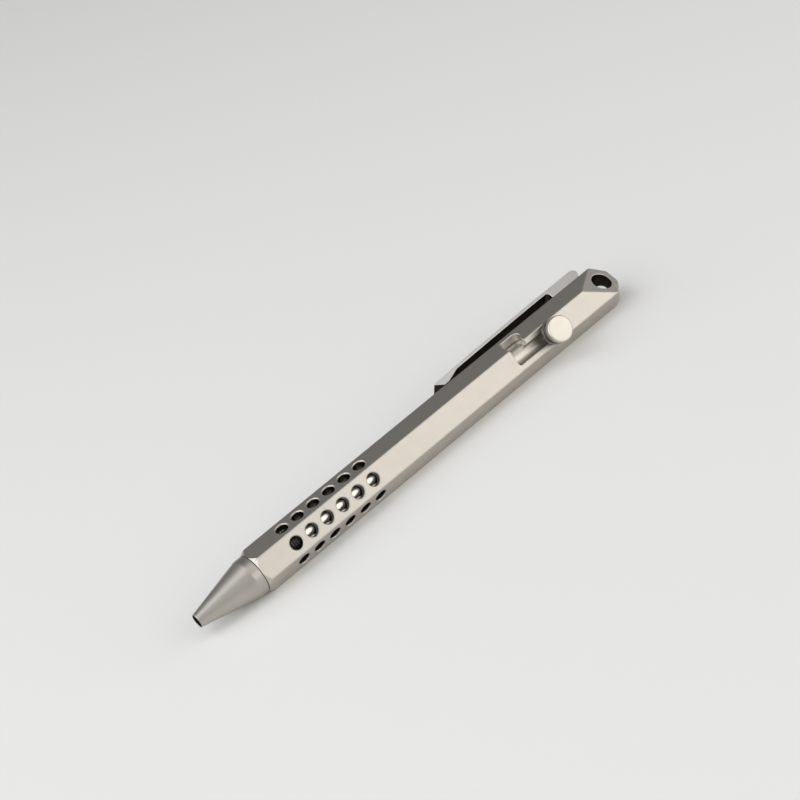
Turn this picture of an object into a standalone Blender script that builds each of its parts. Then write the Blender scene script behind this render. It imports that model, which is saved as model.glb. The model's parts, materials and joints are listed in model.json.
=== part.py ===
"""Bolt-action tactical pen, built as the separate pieces that it comes apart into.

Metres, +Z up. +X runs along the pen from the writing tip to the tail, and +Y points to the clip's side.
The origin is on the flat that the pen rests on, under the middle of its length.
"""

import math

import bmesh
import bpy
from mathutils import Matrix, Vector

# Barrel: a hexagonal bar, turned at both ends
ACROSS_FLATS = 0.0107
TAIL_LENGTH = 0.0238
EDGE_RADIUS = 0.0005
FRONT_RING_RISE = 0.00003
FRONT_CHAMFER_ANGLE = math.radians(30)
TAIL_END_RADIUS = 0.0027
TAIL_CONE_ANGLE = math.radians(45)
TAIL_FACET_START = 0.01173
TAIL_FACET_ANGLE = math.radians(20.3)
LANYARD_HOLE_DIAMETER = 0.0052
LANYARD_HOLE_FROM_END = 0.00405
BORE_DIAMETER = 0.0069
BORE_TIP_ANGLE = math.radians(59)

# Grip holes, one row on each flat
HOLE_DIAMETER = 0.0033
HOLE_CHAMFER = 0.0002
HOLE_PITCH = 0.005
HOLES_IN_A_ROW = 6
FIRST_HOLE_FROM_FRONT = 0.0111

# J-shaped slot for the bolt
SLOT_WIDTH = 0.0033
SLOT_LENGTH = 0.014
SLOT_CORNER_RADIUS = 0.0008
CROSSING_LENGTH = 0.005
LOCK_DEPTH = 0.00106
LOCK_CORNER_RADIUS = 0.0014

# Nose cone with its threaded spigot
NOSE_LENGTH = 0.0181
NOSE_FLUSH_STEP = 0.00005
NOSE_BAND_LENGTH = 0.00235
NOSE_TIP_DIAMETER = 0.00364
NOSE_EDGE = 0.0001
SPIGOT_DIAMETER = 0.00796
SPIGOT_LENGTH = 0.0138
SPIGOT_CHAMFER = 0.0004
SPIGOT_GROOVE_DIAMETER = 0.0077
SPRING_SEAT = 0.0068
SPRING_CHAMBER_DIAMETER = 0.0049

# Seal ring between nose and barrel
SEAL_WIRE_DIAMETER = 0.0007

# Refill: a metal-bodied ballpoint refill, 98 mm long
REFILL_LENGTH = 0.0981
REFILL_SETBACK = 0.0045
REFILL_DIAMETER = 0.0059
REFILL_WALL = 0.0003
BALL_DIAMETER = 0.0008
BALL_PROUD = 0.0003
POINT_DIAMETER = 0.00235
POINT_LENGTH = 0.011
POINT_CONE_LENGTH = 0.0027
POINT_RIM = 0.0001
POINT_TANG_LENGTH = 0.003
POINT_TANG_DIAMETER = 0.0022
INK_CHANNEL_DIAMETER = 0.0005
NECK_DIAMETER = 0.0033
NECK_LENGTH = 0.006
SHOULDER_LENGTH = 0.0015
PLUG_HEAD_LENGTH = 0.0056
PLUG_TANG_LENGTH = 0.003
PLUG_VENT_DIAMETER = 0.001
PLUG_NOTCH_WIDTH = 0.0009
PLUG_NOTCH_DEPTH = 0.0012
AIR_BEHIND_INK = 0.01365

# Return spring round the refill's neck
SPRING_WIRE_DIAMETER = 0.0004
SPRING_TURNS = 7
SPRING_POINTS_PER_TURN = 10

# Bolt carrier, the plunger in the bore: it reaches past the slot's front and past the stem
CARRIER_LEAD = 0.0006
CARRIER_TAIL = 0.00615
CARRIER_CHAMFER = 0.0004
CARRIER_SPOT_DEPTH = 0.001
CARRIER_THREAD_DEPTH = 0.0048

# Bolt knob and its shank
STEM_DIAMETER = 0.0031
SHANK_DIAMETER = 0.0024
KNOB_DIAMETER = 0.0069
KNOB_LIFT = 0.00115
KNOB_HEIGHT = 0.00455
KNOB_FLANGE_DIAMETER = 0.0068
KNOB_FLANGE_HEIGHT = 0.00125
KNOB_GROOVE_DIAMETER = 0.0058
KNOB_GROOVE_HEIGHT = 0.0017
KNOB_BEVEL = 0.00025

# Pocket clip
CLIP_WIDTH = 0.0048
CLIP_LENGTH = 0.05065
CLIP_HEIGHT = 0.00296
CLIP_FROM_TAIL_END = 0.00595
CLIP_ARM_THICKNESS = 0.00082
CLIP_ARM_DROP = 0.0004
CLIP_BEND_SHARE = 0.8292
CLIP_BLOCK_LENGTH = 0.01025
CLIP_BLOCK_CORNER_SHARE = 0.489
CLIP_NECK_RADIUS = 0.0009
CLIP_TIP_THICKNESS = 0.0002
CLIP_TIP_DROP = 0.00069
CLIP_TIP_TAPER_LENGTH = 0.0089
CLIP_BUMP_FROM_TIP = 0.00186
CLIP_BUMP_FLAT = 0.00154
CLIP_BUMP_RADIUS = 0.0006
CLIP_RAMP_LENGTH = 0.004

# Clip screws
SCREW_SHANK_DIAMETER = 0.002
SCREW_HEAD_DIAMETER = 0.0034
SCREW_HEAD_HEIGHT = 0.0013
SCREW_DEPTH_IN_BARREL = 0.003
SCREW_PITCH = 0.0044
SCREW_FROM_CLIP_END = 0.0027
SCREW_EDGE = 0.0002
SOCKET_ACROSS_FLATS = 0.0013
SOCKET_DEPTH = 0.0008

# Clearances
SEAT_GAP = 0.0002
SLIDE_GAP = 0.0001
PRESS_GAP = 0.00005
THREAD_GAP = 0.00007
POINT_GAP = 0.000125
REFILL_GAP = 0.00015
SEAL_GAP = 0.00015
STOP_GAP = 0.0003
CARRIER_END_GAP = 0.0007

# Modelling: cutters run past what they cut, and points closer than this are one
OVERRUN = 0.001
MERGE_GAP = 0.000001

# Facet counts
COARSE = 16
MEDIUM = 28
FINE = 40
CORNER_STEPS = 4
HEXAGON = 6

# Places along the pen, from the tip's end: the refill sets where carrier, slot and tail lie
REFILL_END = REFILL_SETBACK + REFILL_LENGTH
PLUG_START = REFILL_END - PLUG_HEAD_LENGTH - PLUG_TANG_LENGTH
CARRIER_FRONT = REFILL_END + SEAT_GAP
SLOT_FRONT = CARRIER_FRONT + CARRIER_LEAD
SLOT_REAR = SLOT_FRONT + SLOT_LENGTH
STEM_STATION = SLOT_REAR - SLOT_WIDTH / 2
CARRIER_REAR = STEM_STATION + CARRIER_TAIL
BORE_END = CARRIER_REAR + CARRIER_END_GAP
OVERALL_LENGTH = SLOT_REAR + TAIL_LENGTH
BARREL_LENGTH = OVERALL_LENGTH - NOSE_LENGTH
SPIGOT_END = NOSE_LENGTH + SPIGOT_LENGTH
CLIP_END = OVERALL_LENGTH - CLIP_FROM_TAIL_END
POINT_END = REFILL_SETBACK + POINT_LENGTH
SHOULDER_START = POINT_END + NECK_LENGTH
SHOULDER_END = SHOULDER_START + SHOULDER_LENGTH

# How far the bolt pushes the refill, and the stepped bores in the nose that leave room for it
BOLT_TRAVEL = SLOT_LENGTH - SLOT_WIDTH
TIP_BORE_END = POINT_END - BOLT_TRAVEL - STOP_GAP
SPRING_CHAMBER_END = SHOULDER_START - BOLT_TRAVEL - STOP_GAP

# Distances from the pen's axis
FLAT = ACROSS_FLATS / 2
CORNER = ACROSS_FLATS / math.sqrt(3)
SKIN = CORNER + OVERRUN
BORE_RADIUS = BORE_DIAMETER / 2
CARRIER_RADIUS = BORE_RADIUS - SLIDE_GAP
CARRIER_SPOT = CARRIER_RADIUS - CARRIER_SPOT_DEPTH
CARRIER_THREAD_END = CARRIER_RADIUS - CARRIER_THREAD_DEPTH
REFILL_RADIUS = REFILL_DIAMETER / 2
REFILL_INSIDE = REFILL_RADIUS - REFILL_WALL
CLIP_SEAT = FLAT + SEAT_GAP
CLIP_TOP = FLAT + CLIP_HEIGHT
SCREW_TOP = CLIP_TOP - SEAT_GAP / 2
SCREW_END = FLAT - SCREW_DEPTH_IN_BARREL

# Recess for the seal ring in the barrel's mouth
SEAL_RECESS_RADIUS = SPIGOT_GROOVE_DIAMETER / 2 + SEAL_WIRE_DIAMETER + SEAL_GAP * 2
SEAL_RECESS_END = NOSE_LENGTH + SEAL_WIRE_DIAMETER + SEAT_GAP

# Turns about the pen's axis from +Z: the flats lie a sixth of a turn apart, the corners between them
FLAT_TURN = math.tau / HEXAGON
CORNER_TURN = FLAT_TURN / 2
HALF_FACET = math.pi / FINE
LOCK_FLAT = 0
BOLT_FLAT = FLAT_TURN
CLIP_FLAT = -FLAT_TURN


def place(station, turn=0):
    """Matrix that sets a piece on the pen's axis at a distance from the tip, turned about the axis."""
    move = Matrix.Translation((station - OVERALL_LENGTH / 2, 0, FLAT))
    return move @ Matrix.Rotation(turn, 4, "X")


def outward(turn):
    """Direction across the pen, in its Y and Z, at a turn from +Z."""
    return Vector((-math.sin(turn), math.cos(turn)))


def material(name, colour, roughness, metallic):
    made = bpy.data.materials.new(name)
    made.use_nodes = True
    shader = made.node_tree.nodes["Principled BSDF"]
    shader.inputs["Base Color"].default_value = (*colour, 1)
    shader.inputs["Roughness"].default_value = roughness
    shader.inputs["Metallic"].default_value = metallic
    return made


def add_object(name, bm, matrix, finish=None):
    """Object from a bmesh, set in place. Without a finish it is a hidden cutter."""
    bmesh.ops.recalc_face_normals(bm, faces=bm.faces)
    mesh = bpy.data.meshes.new(name)
    bm.to_mesh(mesh)
    bm.free()
    made = bpy.data.objects.new(name, mesh)
    made.matrix_world = matrix
    bpy.context.scene.collection.objects.link(made)
    if finish:
        mesh.materials.append(finish)
        mesh.shade_smooth()
        mesh.set_sharp_from_angle(angle=math.radians(30))
    else:
        made.hide_render = True
        made.display_type = "WIRE"
    return made


def combine(target, tool, operation="DIFFERENCE"):
    cut = target.modifiers.new(tool.name, "BOOLEAN")
    cut.operation = operation
    cut.object = tool
    cut.solver = "EXACT"


def turned(outline, steps, closed=False):
    """Spin an outline of (along X, radius) points about the X axis."""
    bm = bmesh.new()
    verts = [bm.verts.new((x, 0, radius)) for x, radius in outline]
    edges = [bm.edges.new(pair) for pair in zip(verts, verts[1:])]
    if closed:
        edges.append(bm.edges.new((verts[-1], verts[0])))
    bmesh.ops.spin(
        bm, geom=verts + edges, cent=(0, 0, 0), axis=(1, 0, 0), angle=math.tau, steps=steps, use_merge=True
    )
    bmesh.ops.remove_doubles(bm, verts=bm.verts, dist=MERGE_GAP)
    return bm


def upright(bm):
    """Stand what was turned about X across the pen, with its X pointing outwards along Z."""
    bmesh.ops.rotate(bm, verts=bm.verts, cent=(0, 0, 0), matrix=Matrix.Rotation(-math.pi / 2, 3, "Y"))
    return bm


def extruded(points, direction):
    """Close an outline of points into a face and extrude it along a direction."""
    bm = bmesh.new()
    face = bm.faces.new([bm.verts.new(point) for point in points])
    grown = bmesh.ops.extrude_face_region(bm, geom=[face])["geom"]
    moved = [item for item in grown if isinstance(item, bmesh.types.BMVert)]
    bmesh.ops.translate(bm, verts=moved, vec=direction)
    return bm


def rounded(corners):
    """Outline of (x, y, radius) corners, each rounded by an arc of its radius."""
    outline = []
    for index, (x, y, radius) in enumerate(corners):
        here = Vector((x, y))
        if not radius:
            outline.append(here)
            continue
        before = (Vector(corners[index - 1][:2]) - here).normalized()
        after = (Vector(corners[(index + 1) % len(corners)][:2]) - here).normalized()
        half = before.angle(after) / 2
        centre = here + (before + after).normalized() * (radius / math.sin(half))
        start = here + before * (radius / math.tan(half)) - centre
        end = here + after * (radius / math.tan(half)) - centre
        sweep = start.angle_signed(end)
        for step in range(CORNER_STEPS + 1):
            outline.append(centre + Matrix.Rotation(-sweep * step / CORNER_STEPS, 2) @ start)
    return outline


def screw_station(index):
    return CLIP_END - SCREW_FROM_CLIP_END - index * SCREW_PITCH


def cut_across(target, name, outline, steps, station, turn):
    """Cut a turned hole across the pen. Its outline starts with heights above the pen's axis."""
    combine(target, add_object(name, upright(turned(outline, steps)), place(station, turn)))


def add_envelope():
    """Turned skin that chamfers the hexagon's corners at its front and at its tail."""
    ring = FLAT + FRONT_RING_RISE
    chamfer = (SKIN - ring) / math.tan(FRONT_CHAMFER_ANGLE)
    cone = (SKIN - TAIL_END_RADIUS) / math.tan(TAIL_CONE_ANGLE)
    outline = [
        (0, 0),
        (0, ring),
        (chamfer, SKIN),
        (BARREL_LENGTH - cone, SKIN),
        (BARREL_LENGTH, TAIL_END_RADIUS),
        (BARREL_LENGTH, 0),
    ]
    return add_object("envelope_guide", turned(outline, FINE), place(NOSE_LENGTH, HALF_FACET))


def add_bore_cutter():
    thread = SPIGOT_DIAMETER / 2 + THREAD_GAP
    outline = [
        (NOSE_LENGTH - OVERRUN, 0),
        (NOSE_LENGTH - OVERRUN, SEAL_RECESS_RADIUS),
        (SEAL_RECESS_END, SEAL_RECESS_RADIUS),
        (SEAL_RECESS_END, thread),
        (SPIGOT_END + SEAT_GAP, thread),
        (SPIGOT_END + SEAT_GAP, BORE_RADIUS),
        (BORE_END, BORE_RADIUS),
        (BORE_END + BORE_RADIUS / math.tan(BORE_TIP_ANGLE), 0),
    ]
    return add_object("bore_cutter", turned(outline, FINE), place(0, HALF_FACET))


def add_grip_cutter(turn):
    """One row of drills that go right through the grip, with a chamfer at both mouths."""
    radius = HOLE_DIAMETER / 2
    mouth = FLAT - HOLE_CHAMFER
    flare = radius + HOLE_CHAMFER + OVERRUN
    far = FLAT + OVERRUN
    outline = [(-far, 0), (-far, flare), (-mouth, radius), (mouth, radius), (far, flare), (far, 0)]
    bm = upright(turned(outline, COARSE))
    drill = bm.verts[:] + bm.edges[:] + bm.faces[:]
    for index in range(1, HOLES_IN_A_ROW):
        copy = bmesh.ops.duplicate(bm, geom=drill)["geom"]
        moved = [item for item in copy if isinstance(item, bmesh.types.BMVert)]
        bmesh.ops.translate(bm, verts=moved, vec=(index * HOLE_PITCH, 0, 0))
    return add_object("grip_cutter", bm, place(NOSE_LENGTH + FIRST_HOLE_FROM_FRONT, turn))


def add_run_cutter(name, length, corner, turn):
    """Straight stretch of the slot along one flat, with a round end at its rear."""
    half = SLOT_WIDTH / 2
    end = half - PRESS_GAP
    corners = [(0, -half, corner), (length, -half, end), (length, half, end), (0, half, corner)]
    points = [(point.x, point.y, 0) for point in rounded(corners)]
    return add_object(name, extruded(points, (0, 0, SKIN)), place(SLOT_FRONT, turn))


def add_crossing_cutter():
    """Stretch of the slot that leads round a corner of the barrel, from the bolt's flat to the lock's.

    It ends a little past the middle of both flats, where the rounded corners of the straight runs begin.
    """
    side = (SLOT_WIDTH / 2 - LOCK_CORNER_RADIUS) / 2
    lock_side = outward(LOCK_FLAT - math.pi / 2) * side
    bolt_side = outward(BOLT_FLAT + math.pi / 2) * side
    fan = [
        lock_side,
        lock_side + outward(LOCK_FLAT) * SKIN,
        outward(CORNER_TURN) * SKIN / math.cos(CORNER_TURN),
        bolt_side + outward(BOLT_FLAT) * SKIN,
        bolt_side,
    ]
    points = [(0, point.x, point.y) for point in fan]
    return add_object("crossing_cutter", extruded(points, (CROSSING_LENGTH, 0, 0)), place(SLOT_FRONT))


def add_facet_cutter(turn):
    """Wedge over one slanted facet of the tail."""
    length = TAIL_FACET_START + OVERRUN
    drop = length * math.tan(TAIL_FACET_ANGLE)
    points = [
        (0, -SKIN, CORNER),
        (length, -SKIN, CORNER - drop),
        (length, -SKIN, CORNER + length),
        (0, -SKIN, CORNER + length),
    ]
    station = OVERALL_LENGTH - TAIL_FACET_START
    return add_object("facet_cutter", extruded(points, (0, SKIN * 2, 0)), place(station, turn))


def add_barrel(finish):
    corners = []
    for index in range(HEXAGON):
        corner = outward(CORNER_TURN + index * FLAT_TURN) * CORNER
        corners.append((corner.x, corner.y, EDGE_RADIUS))
    points = [(0, point.x, point.y) for point in rounded(corners)]
    barrel = add_object("barrel", extruded(points, (BARREL_LENGTH, 0, 0)), place(NOSE_LENGTH), finish)
    combine(barrel, add_envelope(), "INTERSECT")
    combine(barrel, add_bore_cutter())
    for index in range(HEXAGON // 2):
        combine(barrel, add_grip_cutter(index * FLAT_TURN))
    combine(barrel, add_run_cutter("bolt_run_cutter", SLOT_LENGTH, SLOT_CORNER_RADIUS, BOLT_FLAT))
    lock_length = CROSSING_LENGTH + LOCK_DEPTH
    combine(barrel, add_run_cutter("lock_run_cutter", lock_length, LOCK_CORNER_RADIUS, LOCK_FLAT))
    combine(barrel, add_crossing_cutter())
    for turn in (CORNER_TURN, CORNER_TURN + math.pi):
        combine(barrel, add_facet_cutter(turn))
    radius = LANYARD_HOLE_DIAMETER / 2
    outline = [(-SKIN, 0), (-SKIN, radius), (SKIN, radius), (SKIN, 0)]
    station = OVERALL_LENGTH - LANYARD_HOLE_FROM_END
    cut_across(barrel, "lanyard_cutter", outline, MEDIUM, station, CORNER_TURN)
    floor = SCREW_END - SEAT_GAP
    radius = SCREW_SHANK_DIAMETER / 2 + PRESS_GAP
    outline = [(floor, 0), (floor, radius), (SKIN, radius), (SKIN, 0)]
    for index in range(2):
        cut_across(barrel, "tapping_cutter", outline, COARSE, screw_station(index), CLIP_FLAT)
    return barrel


def add_nose_cone(finish):
    band = FLAT - NOSE_FLUSH_STEP
    tip = NOSE_TIP_DIAMETER / 2
    tip_bore = POINT_DIAMETER / 2 + POINT_GAP
    neck_bore = NECK_DIAMETER / 2 + REFILL_GAP
    refill_bore = REFILL_RADIUS + REFILL_GAP
    chamber = SPRING_CHAMBER_DIAMETER / 2
    spigot = SPIGOT_DIAMETER / 2
    groove = SPIGOT_GROOVE_DIAMETER / 2
    face = NOSE_LENGTH - SEAT_GAP
    outline = [
        (0, tip_bore),
        (0, tip - NOSE_EDGE),
        (NOSE_EDGE, tip),
        (NOSE_LENGTH - NOSE_BAND_LENGTH, band),
        (face - NOSE_EDGE, band),
        (face, band - NOSE_EDGE),
        (face, groove),
        (SEAL_RECESS_END + SEAT_GAP, groove),
        (SEAL_RECESS_END + SEAT_GAP, spigot),
        (SPIGOT_END - SPIGOT_CHAMFER, spigot),
        (SPIGOT_END, spigot - SPIGOT_CHAMFER),
        (SPIGOT_END, refill_bore),
        (SPRING_CHAMBER_END, refill_bore),
        (SPRING_CHAMBER_END, chamber),
        (SPRING_SEAT, chamber),
        (SPRING_SEAT, neck_bore),
        (TIP_BORE_END, neck_bore),
        (TIP_BORE_END, tip_bore),
    ]
    return add_object("nose_cone", turned(outline, FINE, closed=True), place(0), finish)


def add_seal_ring(finish):
    wire = SEAL_WIRE_DIAMETER / 2
    middle = SPIGOT_GROOVE_DIAMETER / 2 + SEAL_GAP + wire
    steps = COARSE // 2
    outline = []
    for step in range(steps):
        turn = math.tau * step / steps
        outline.append((wire * math.cos(turn), middle + wire * math.sin(turn)))
    station = (NOSE_LENGTH + SEAL_RECESS_END) / 2
    return add_object("nose_o_ring", turned(outline, FINE, closed=True), place(station), finish)


def add_refill_ball(finish):
    bm = bmesh.new()
    bmesh.ops.create_icosphere(bm, subdivisions=2, radius=BALL_DIAMETER / 2)
    return add_object("refill_ball", bm, place(REFILL_SETBACK + BALL_DIAMETER / 2), finish)


def add_refill_point(finish):
    socket = BALL_DIAMETER / 2 + PRESS_GAP
    channel = INK_CHANNEL_DIAMETER / 2
    outline = [
        (BALL_PROUD, socket),
        (BALL_PROUD, socket + POINT_RIM),
        (BALL_PROUD + POINT_CONE_LENGTH, POINT_DIAMETER / 2),
        (POINT_LENGTH, POINT_DIAMETER / 2),
        (POINT_LENGTH, POINT_TANG_DIAMETER / 2),
        (POINT_LENGTH + POINT_TANG_LENGTH, POINT_TANG_DIAMETER / 2),
        (POINT_LENGTH + POINT_TANG_LENGTH, channel),
        (BALL_DIAMETER + PRESS_GAP, channel),
        (BALL_DIAMETER + PRESS_GAP, socket),
    ]
    return add_object("refill_point", turned(outline, COARSE, closed=True), place(REFILL_SETBACK), finish)


def add_refill_tube(finish):
    neck = NECK_DIAMETER / 2
    neck_bore = POINT_TANG_DIAMETER / 2 + PRESS_GAP
    end = REFILL_END - PLUG_HEAD_LENGTH - PRESS_GAP
    outline = [
        (POINT_END + PRESS_GAP, neck_bore),
        (POINT_END + PRESS_GAP, neck),
        (SHOULDER_START, neck),
        (SHOULDER_END, REFILL_RADIUS),
        (end, REFILL_RADIUS),
        (end, REFILL_INSIDE),
        (SHOULDER_END + REFILL_WALL, REFILL_INSIDE),
        (SHOULDER_START + REFILL_WALL, neck_bore),
    ]
    return add_object("refill_tube", turned(outline, MEDIUM, closed=True), place(0), finish)


def add_refill_ink(finish):
    radius = REFILL_INSIDE - PRESS_GAP
    start = SHOULDER_END + REFILL_WALL + PRESS_GAP
    length = PLUG_START - AIR_BEHIND_INK - start
    outline = [(0, 0), (0, radius), (length, radius), (length, 0)]
    return add_object("refill_ink", turned(outline, MEDIUM), place(start), finish)


def add_refill_end_plug(finish):
    vent = PLUG_VENT_DIAMETER / 2
    tang = REFILL_INSIDE - PRESS_GAP
    outline = [
        (-PLUG_TANG_LENGTH, vent),
        (-PLUG_TANG_LENGTH, tang),
        (0, tang),
        (0, REFILL_RADIUS),
        (PLUG_HEAD_LENGTH, REFILL_RADIUS),
        (PLUG_HEAD_LENGTH, vent),
    ]
    matrix = place(REFILL_END - PLUG_HEAD_LENGTH)
    plug = add_object("refill_end_plug", turned(outline, MEDIUM, closed=True), matrix, finish)
    size = (PLUG_NOTCH_DEPTH * 2, PLUG_NOTCH_WIDTH, REFILL_DIAMETER + OVERRUN)
    for turn in (LOCK_FLAT, LOCK_FLAT + math.pi / 2):
        bm = bmesh.new()
        bmesh.ops.create_cube(bm, size=1)
        bmesh.ops.scale(bm, verts=bm.verts, vec=size)
        combine(plug, add_object("notch_cutter", bm, place(REFILL_END, turn)))
    return plug


def add_return_spring(finish):
    wire = SPRING_WIRE_DIAMETER / 2
    radius = (SPRING_CHAMBER_DIAMETER + NECK_DIAMETER) / 4
    start = SPRING_SEAT + wire + PRESS_GAP
    length = SHOULDER_START - wire - start
    steps = SPRING_TURNS * SPRING_POINTS_PER_TURN
    curve = bpy.data.curves.new("return_spring", "CURVE")
    curve.dimensions = "3D"
    curve.bevel_depth = wire
    curve.bevel_resolution = 1
    curve.use_fill_caps = True
    curve.materials.append(finish)
    path = curve.splines.new("POLY")
    path.points.add(steps)
    for step in range(steps + 1):
        across = outward(math.tau * step / SPRING_POINTS_PER_TURN) * radius
        path.points[step].co = (length * step / steps, across.x, across.y, 1)
    spring = bpy.data.objects.new("return_spring", curve)
    spring.matrix_world = place(start)
    bpy.context.scene.collection.objects.link(spring)
    return spring


def add_bolt_carrier(finish):
    front = CARRIER_FRONT - STEM_STATION
    edge = CARRIER_RADIUS - CARRIER_CHAMFER
    outline = [
        (front, 0),
        (front, edge),
        (front + CARRIER_CHAMFER, CARRIER_RADIUS),
        (CARRIER_TAIL - CARRIER_CHAMFER, CARRIER_RADIUS),
        (CARRIER_TAIL, edge),
        (CARRIER_TAIL, 0),
    ]
    carrier = add_object("bolt_carrier", turned(outline, FINE), place(STEM_STATION), finish)
    spot = STEM_DIAMETER / 2 + PRESS_GAP
    thread = SHANK_DIAMETER / 2 + PRESS_GAP
    outline = [
        (CARRIER_THREAD_END, 0),
        (CARRIER_THREAD_END, thread),
        (CARRIER_SPOT, thread),
        (CARRIER_SPOT, spot),
        (SKIN, spot),
        (SKIN, 0),
    ]
    cut_across(carrier, "shank_cutter", outline, MEDIUM, STEM_STATION, BOLT_FLAT)
    return carrier


def add_bolt_knob(finish):
    stem = STEM_DIAMETER / 2
    shank = SHANK_DIAMETER / 2
    base = FLAT + KNOB_LIFT
    groove_start = base + KNOB_FLANGE_HEIGHT
    groove_end = groove_start + KNOB_GROOVE_HEIGHT
    top = base + KNOB_HEIGHT
    outline = [
        (CARRIER_THREAD_END + SEAT_GAP, 0),
        (CARRIER_THREAD_END + SEAT_GAP, shank),
        (CARRIER_SPOT + PRESS_GAP, shank),
        (CARRIER_SPOT + PRESS_GAP, stem),
        (base, stem),
        (base, KNOB_FLANGE_DIAMETER / 2),
        (groove_start, KNOB_FLANGE_DIAMETER / 2),
        (groove_start, KNOB_GROOVE_DIAMETER / 2),
        (groove_end, KNOB_GROOVE_DIAMETER / 2),
        (groove_end, KNOB_DIAMETER / 2),
        (top - KNOB_BEVEL, KNOB_DIAMETER / 2),
        (top, KNOB_DIAMETER / 2 - KNOB_BEVEL),
        (top, 0),
    ]
    return add_object("bolt_knob", upright(turned(outline, MEDIUM)), place(STEM_STATION, BOLT_FLAT), finish)


def add_clip(finish):
    corner = (CLIP_TOP - CLIP_SEAT) * CLIP_BLOCK_CORNER_SHARE
    arm = CLIP_TOP - CLIP_ARM_THICKNESS
    tip = CLIP_TOP - CLIP_TIP_DROP
    bump = CLIP_SEAT + SEAT_GAP
    bump_end = CLIP_BUMP_FROM_TIP + CLIP_BUMP_FLAT
    block = CLIP_LENGTH - CLIP_BLOCK_LENGTH
    bend = block * CLIP_BEND_SHARE
    corners = [
        (0, tip - CLIP_TIP_THICKNESS, 0),
        (0, tip, 0),
        (CLIP_TIP_TAPER_LENGTH, CLIP_TOP - CLIP_ARM_DROP, 0),
        (bend, CLIP_TOP, 0),
        (CLIP_LENGTH, CLIP_TOP, corner),
        (CLIP_LENGTH, CLIP_SEAT, corner),
        (block, CLIP_SEAT, 0),
        (block, arm, CLIP_NECK_RADIUS),
        (bend, arm, 0),
        (bump_end + CLIP_RAMP_LENGTH, arm - CLIP_ARM_DROP, 0),
        (bump_end, bump, CLIP_BUMP_RADIUS),
        (CLIP_BUMP_FROM_TIP, bump, CLIP_BUMP_RADIUS),
    ]
    points = [(point.x, -CLIP_WIDTH / 2, point.y) for point in rounded(corners)]
    matrix = place(CLIP_END - CLIP_LENGTH, CLIP_FLAT)
    clip = add_object("clip", extruded(points, (0, CLIP_WIDTH, 0)), matrix, finish)
    shank = SCREW_SHANK_DIAMETER / 2 + SLIDE_GAP
    head = SCREW_HEAD_DIAMETER / 2 + SLIDE_GAP
    floor = SCREW_TOP - SCREW_HEAD_HEIGHT - PRESS_GAP
    top = CLIP_TOP + OVERRUN
    outline = [(0, 0), (0, shank), (floor, shank), (floor, head), (top, head), (top, 0)]
    for index in range(2):
        cut_across(clip, "screw_hole_cutter", outline, MEDIUM, screw_station(index), CLIP_FLAT)
    return clip


def add_clip_screw(name, index, finish):
    under = SCREW_TOP - SCREW_HEAD_HEIGHT
    shank = SCREW_SHANK_DIAMETER / 2
    head = SCREW_HEAD_DIAMETER / 2
    outline = [
        (SCREW_END, 0),
        (SCREW_END, shank - SCREW_EDGE),
        (SCREW_END + SCREW_EDGE, shank),
        (under, shank),
        (under, head),
        (SCREW_TOP - SCREW_EDGE, head),
        (SCREW_TOP, head - SCREW_EDGE),
        (SCREW_TOP, 0),
    ]
    matrix = place(screw_station(index), CLIP_FLAT)
    screw = add_object(name, upright(turned(outline, MEDIUM)), matrix, finish)
    socket = SOCKET_ACROSS_FLATS / math.sqrt(3)
    floor = SCREW_TOP - SOCKET_DEPTH
    top = SCREW_TOP + OVERRUN
    outline = [(floor, 0), (floor, socket), (top, socket), (top, 0)]
    cut_across(screw, "socket_cutter", outline, HEXAGON, screw_station(index), CLIP_FLAT)
    return screw


def main():
    for item in list(bpy.data.objects):
        bpy.data.objects.remove(item, do_unlink=True)
    titanium = material("titanium", (0.50, 0.47, 0.43), 0.42, 1.0)
    clip_titanium = material("clip_titanium", (0.52, 0.50, 0.47), 0.40, 1.0)
    steel = material("steel", (0.60, 0.60, 0.60), 0.25, 1.0)
    nickel = material("nickel_silver", (0.66, 0.62, 0.54), 0.22, 1.0)
    rubber = material("black_rubber", (0.02, 0.02, 0.02), 0.7, 0.0)
    plastic = material("black_plastic", (0.03, 0.03, 0.03), 0.45, 0.0)
    ink = material("ink", (0.01, 0.01, 0.03), 0.3, 0.0)
    add_barrel(titanium)
    add_nose_cone(titanium)
    add_seal_ring(rubber)
    add_clip(clip_titanium)
    add_clip_screw("clip_screw_rear", 0, steel)
    add_clip_screw("clip_screw_front", 1, steel)
    add_bolt_carrier(titanium)
    add_bolt_knob(titanium)
    add_return_spring(steel)
    add_refill_tube(steel)
    add_refill_point(nickel)
    add_refill_ball(steel)
    add_refill_end_plug(plastic)
    add_refill_ink(ink)


main()
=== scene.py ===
"""Looks of a bolt-action pen, modelled round its packed CAD frame.

Each operator models one piece, or a group of like pieces, in the frame's own coordinates and in metres:
X runs from the writing tip to the tail, and Z points up through the flat that holds the bolt's lock.
Stations are distances along X from the tip, and turns are about the pen's axis, counted from Z.
"""

import json
import math

import bmesh
import bpy
from bpy.props import FloatProperty, FloatVectorProperty, IntProperty, PointerProperty
from mathutils import Matrix, Vector


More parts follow.
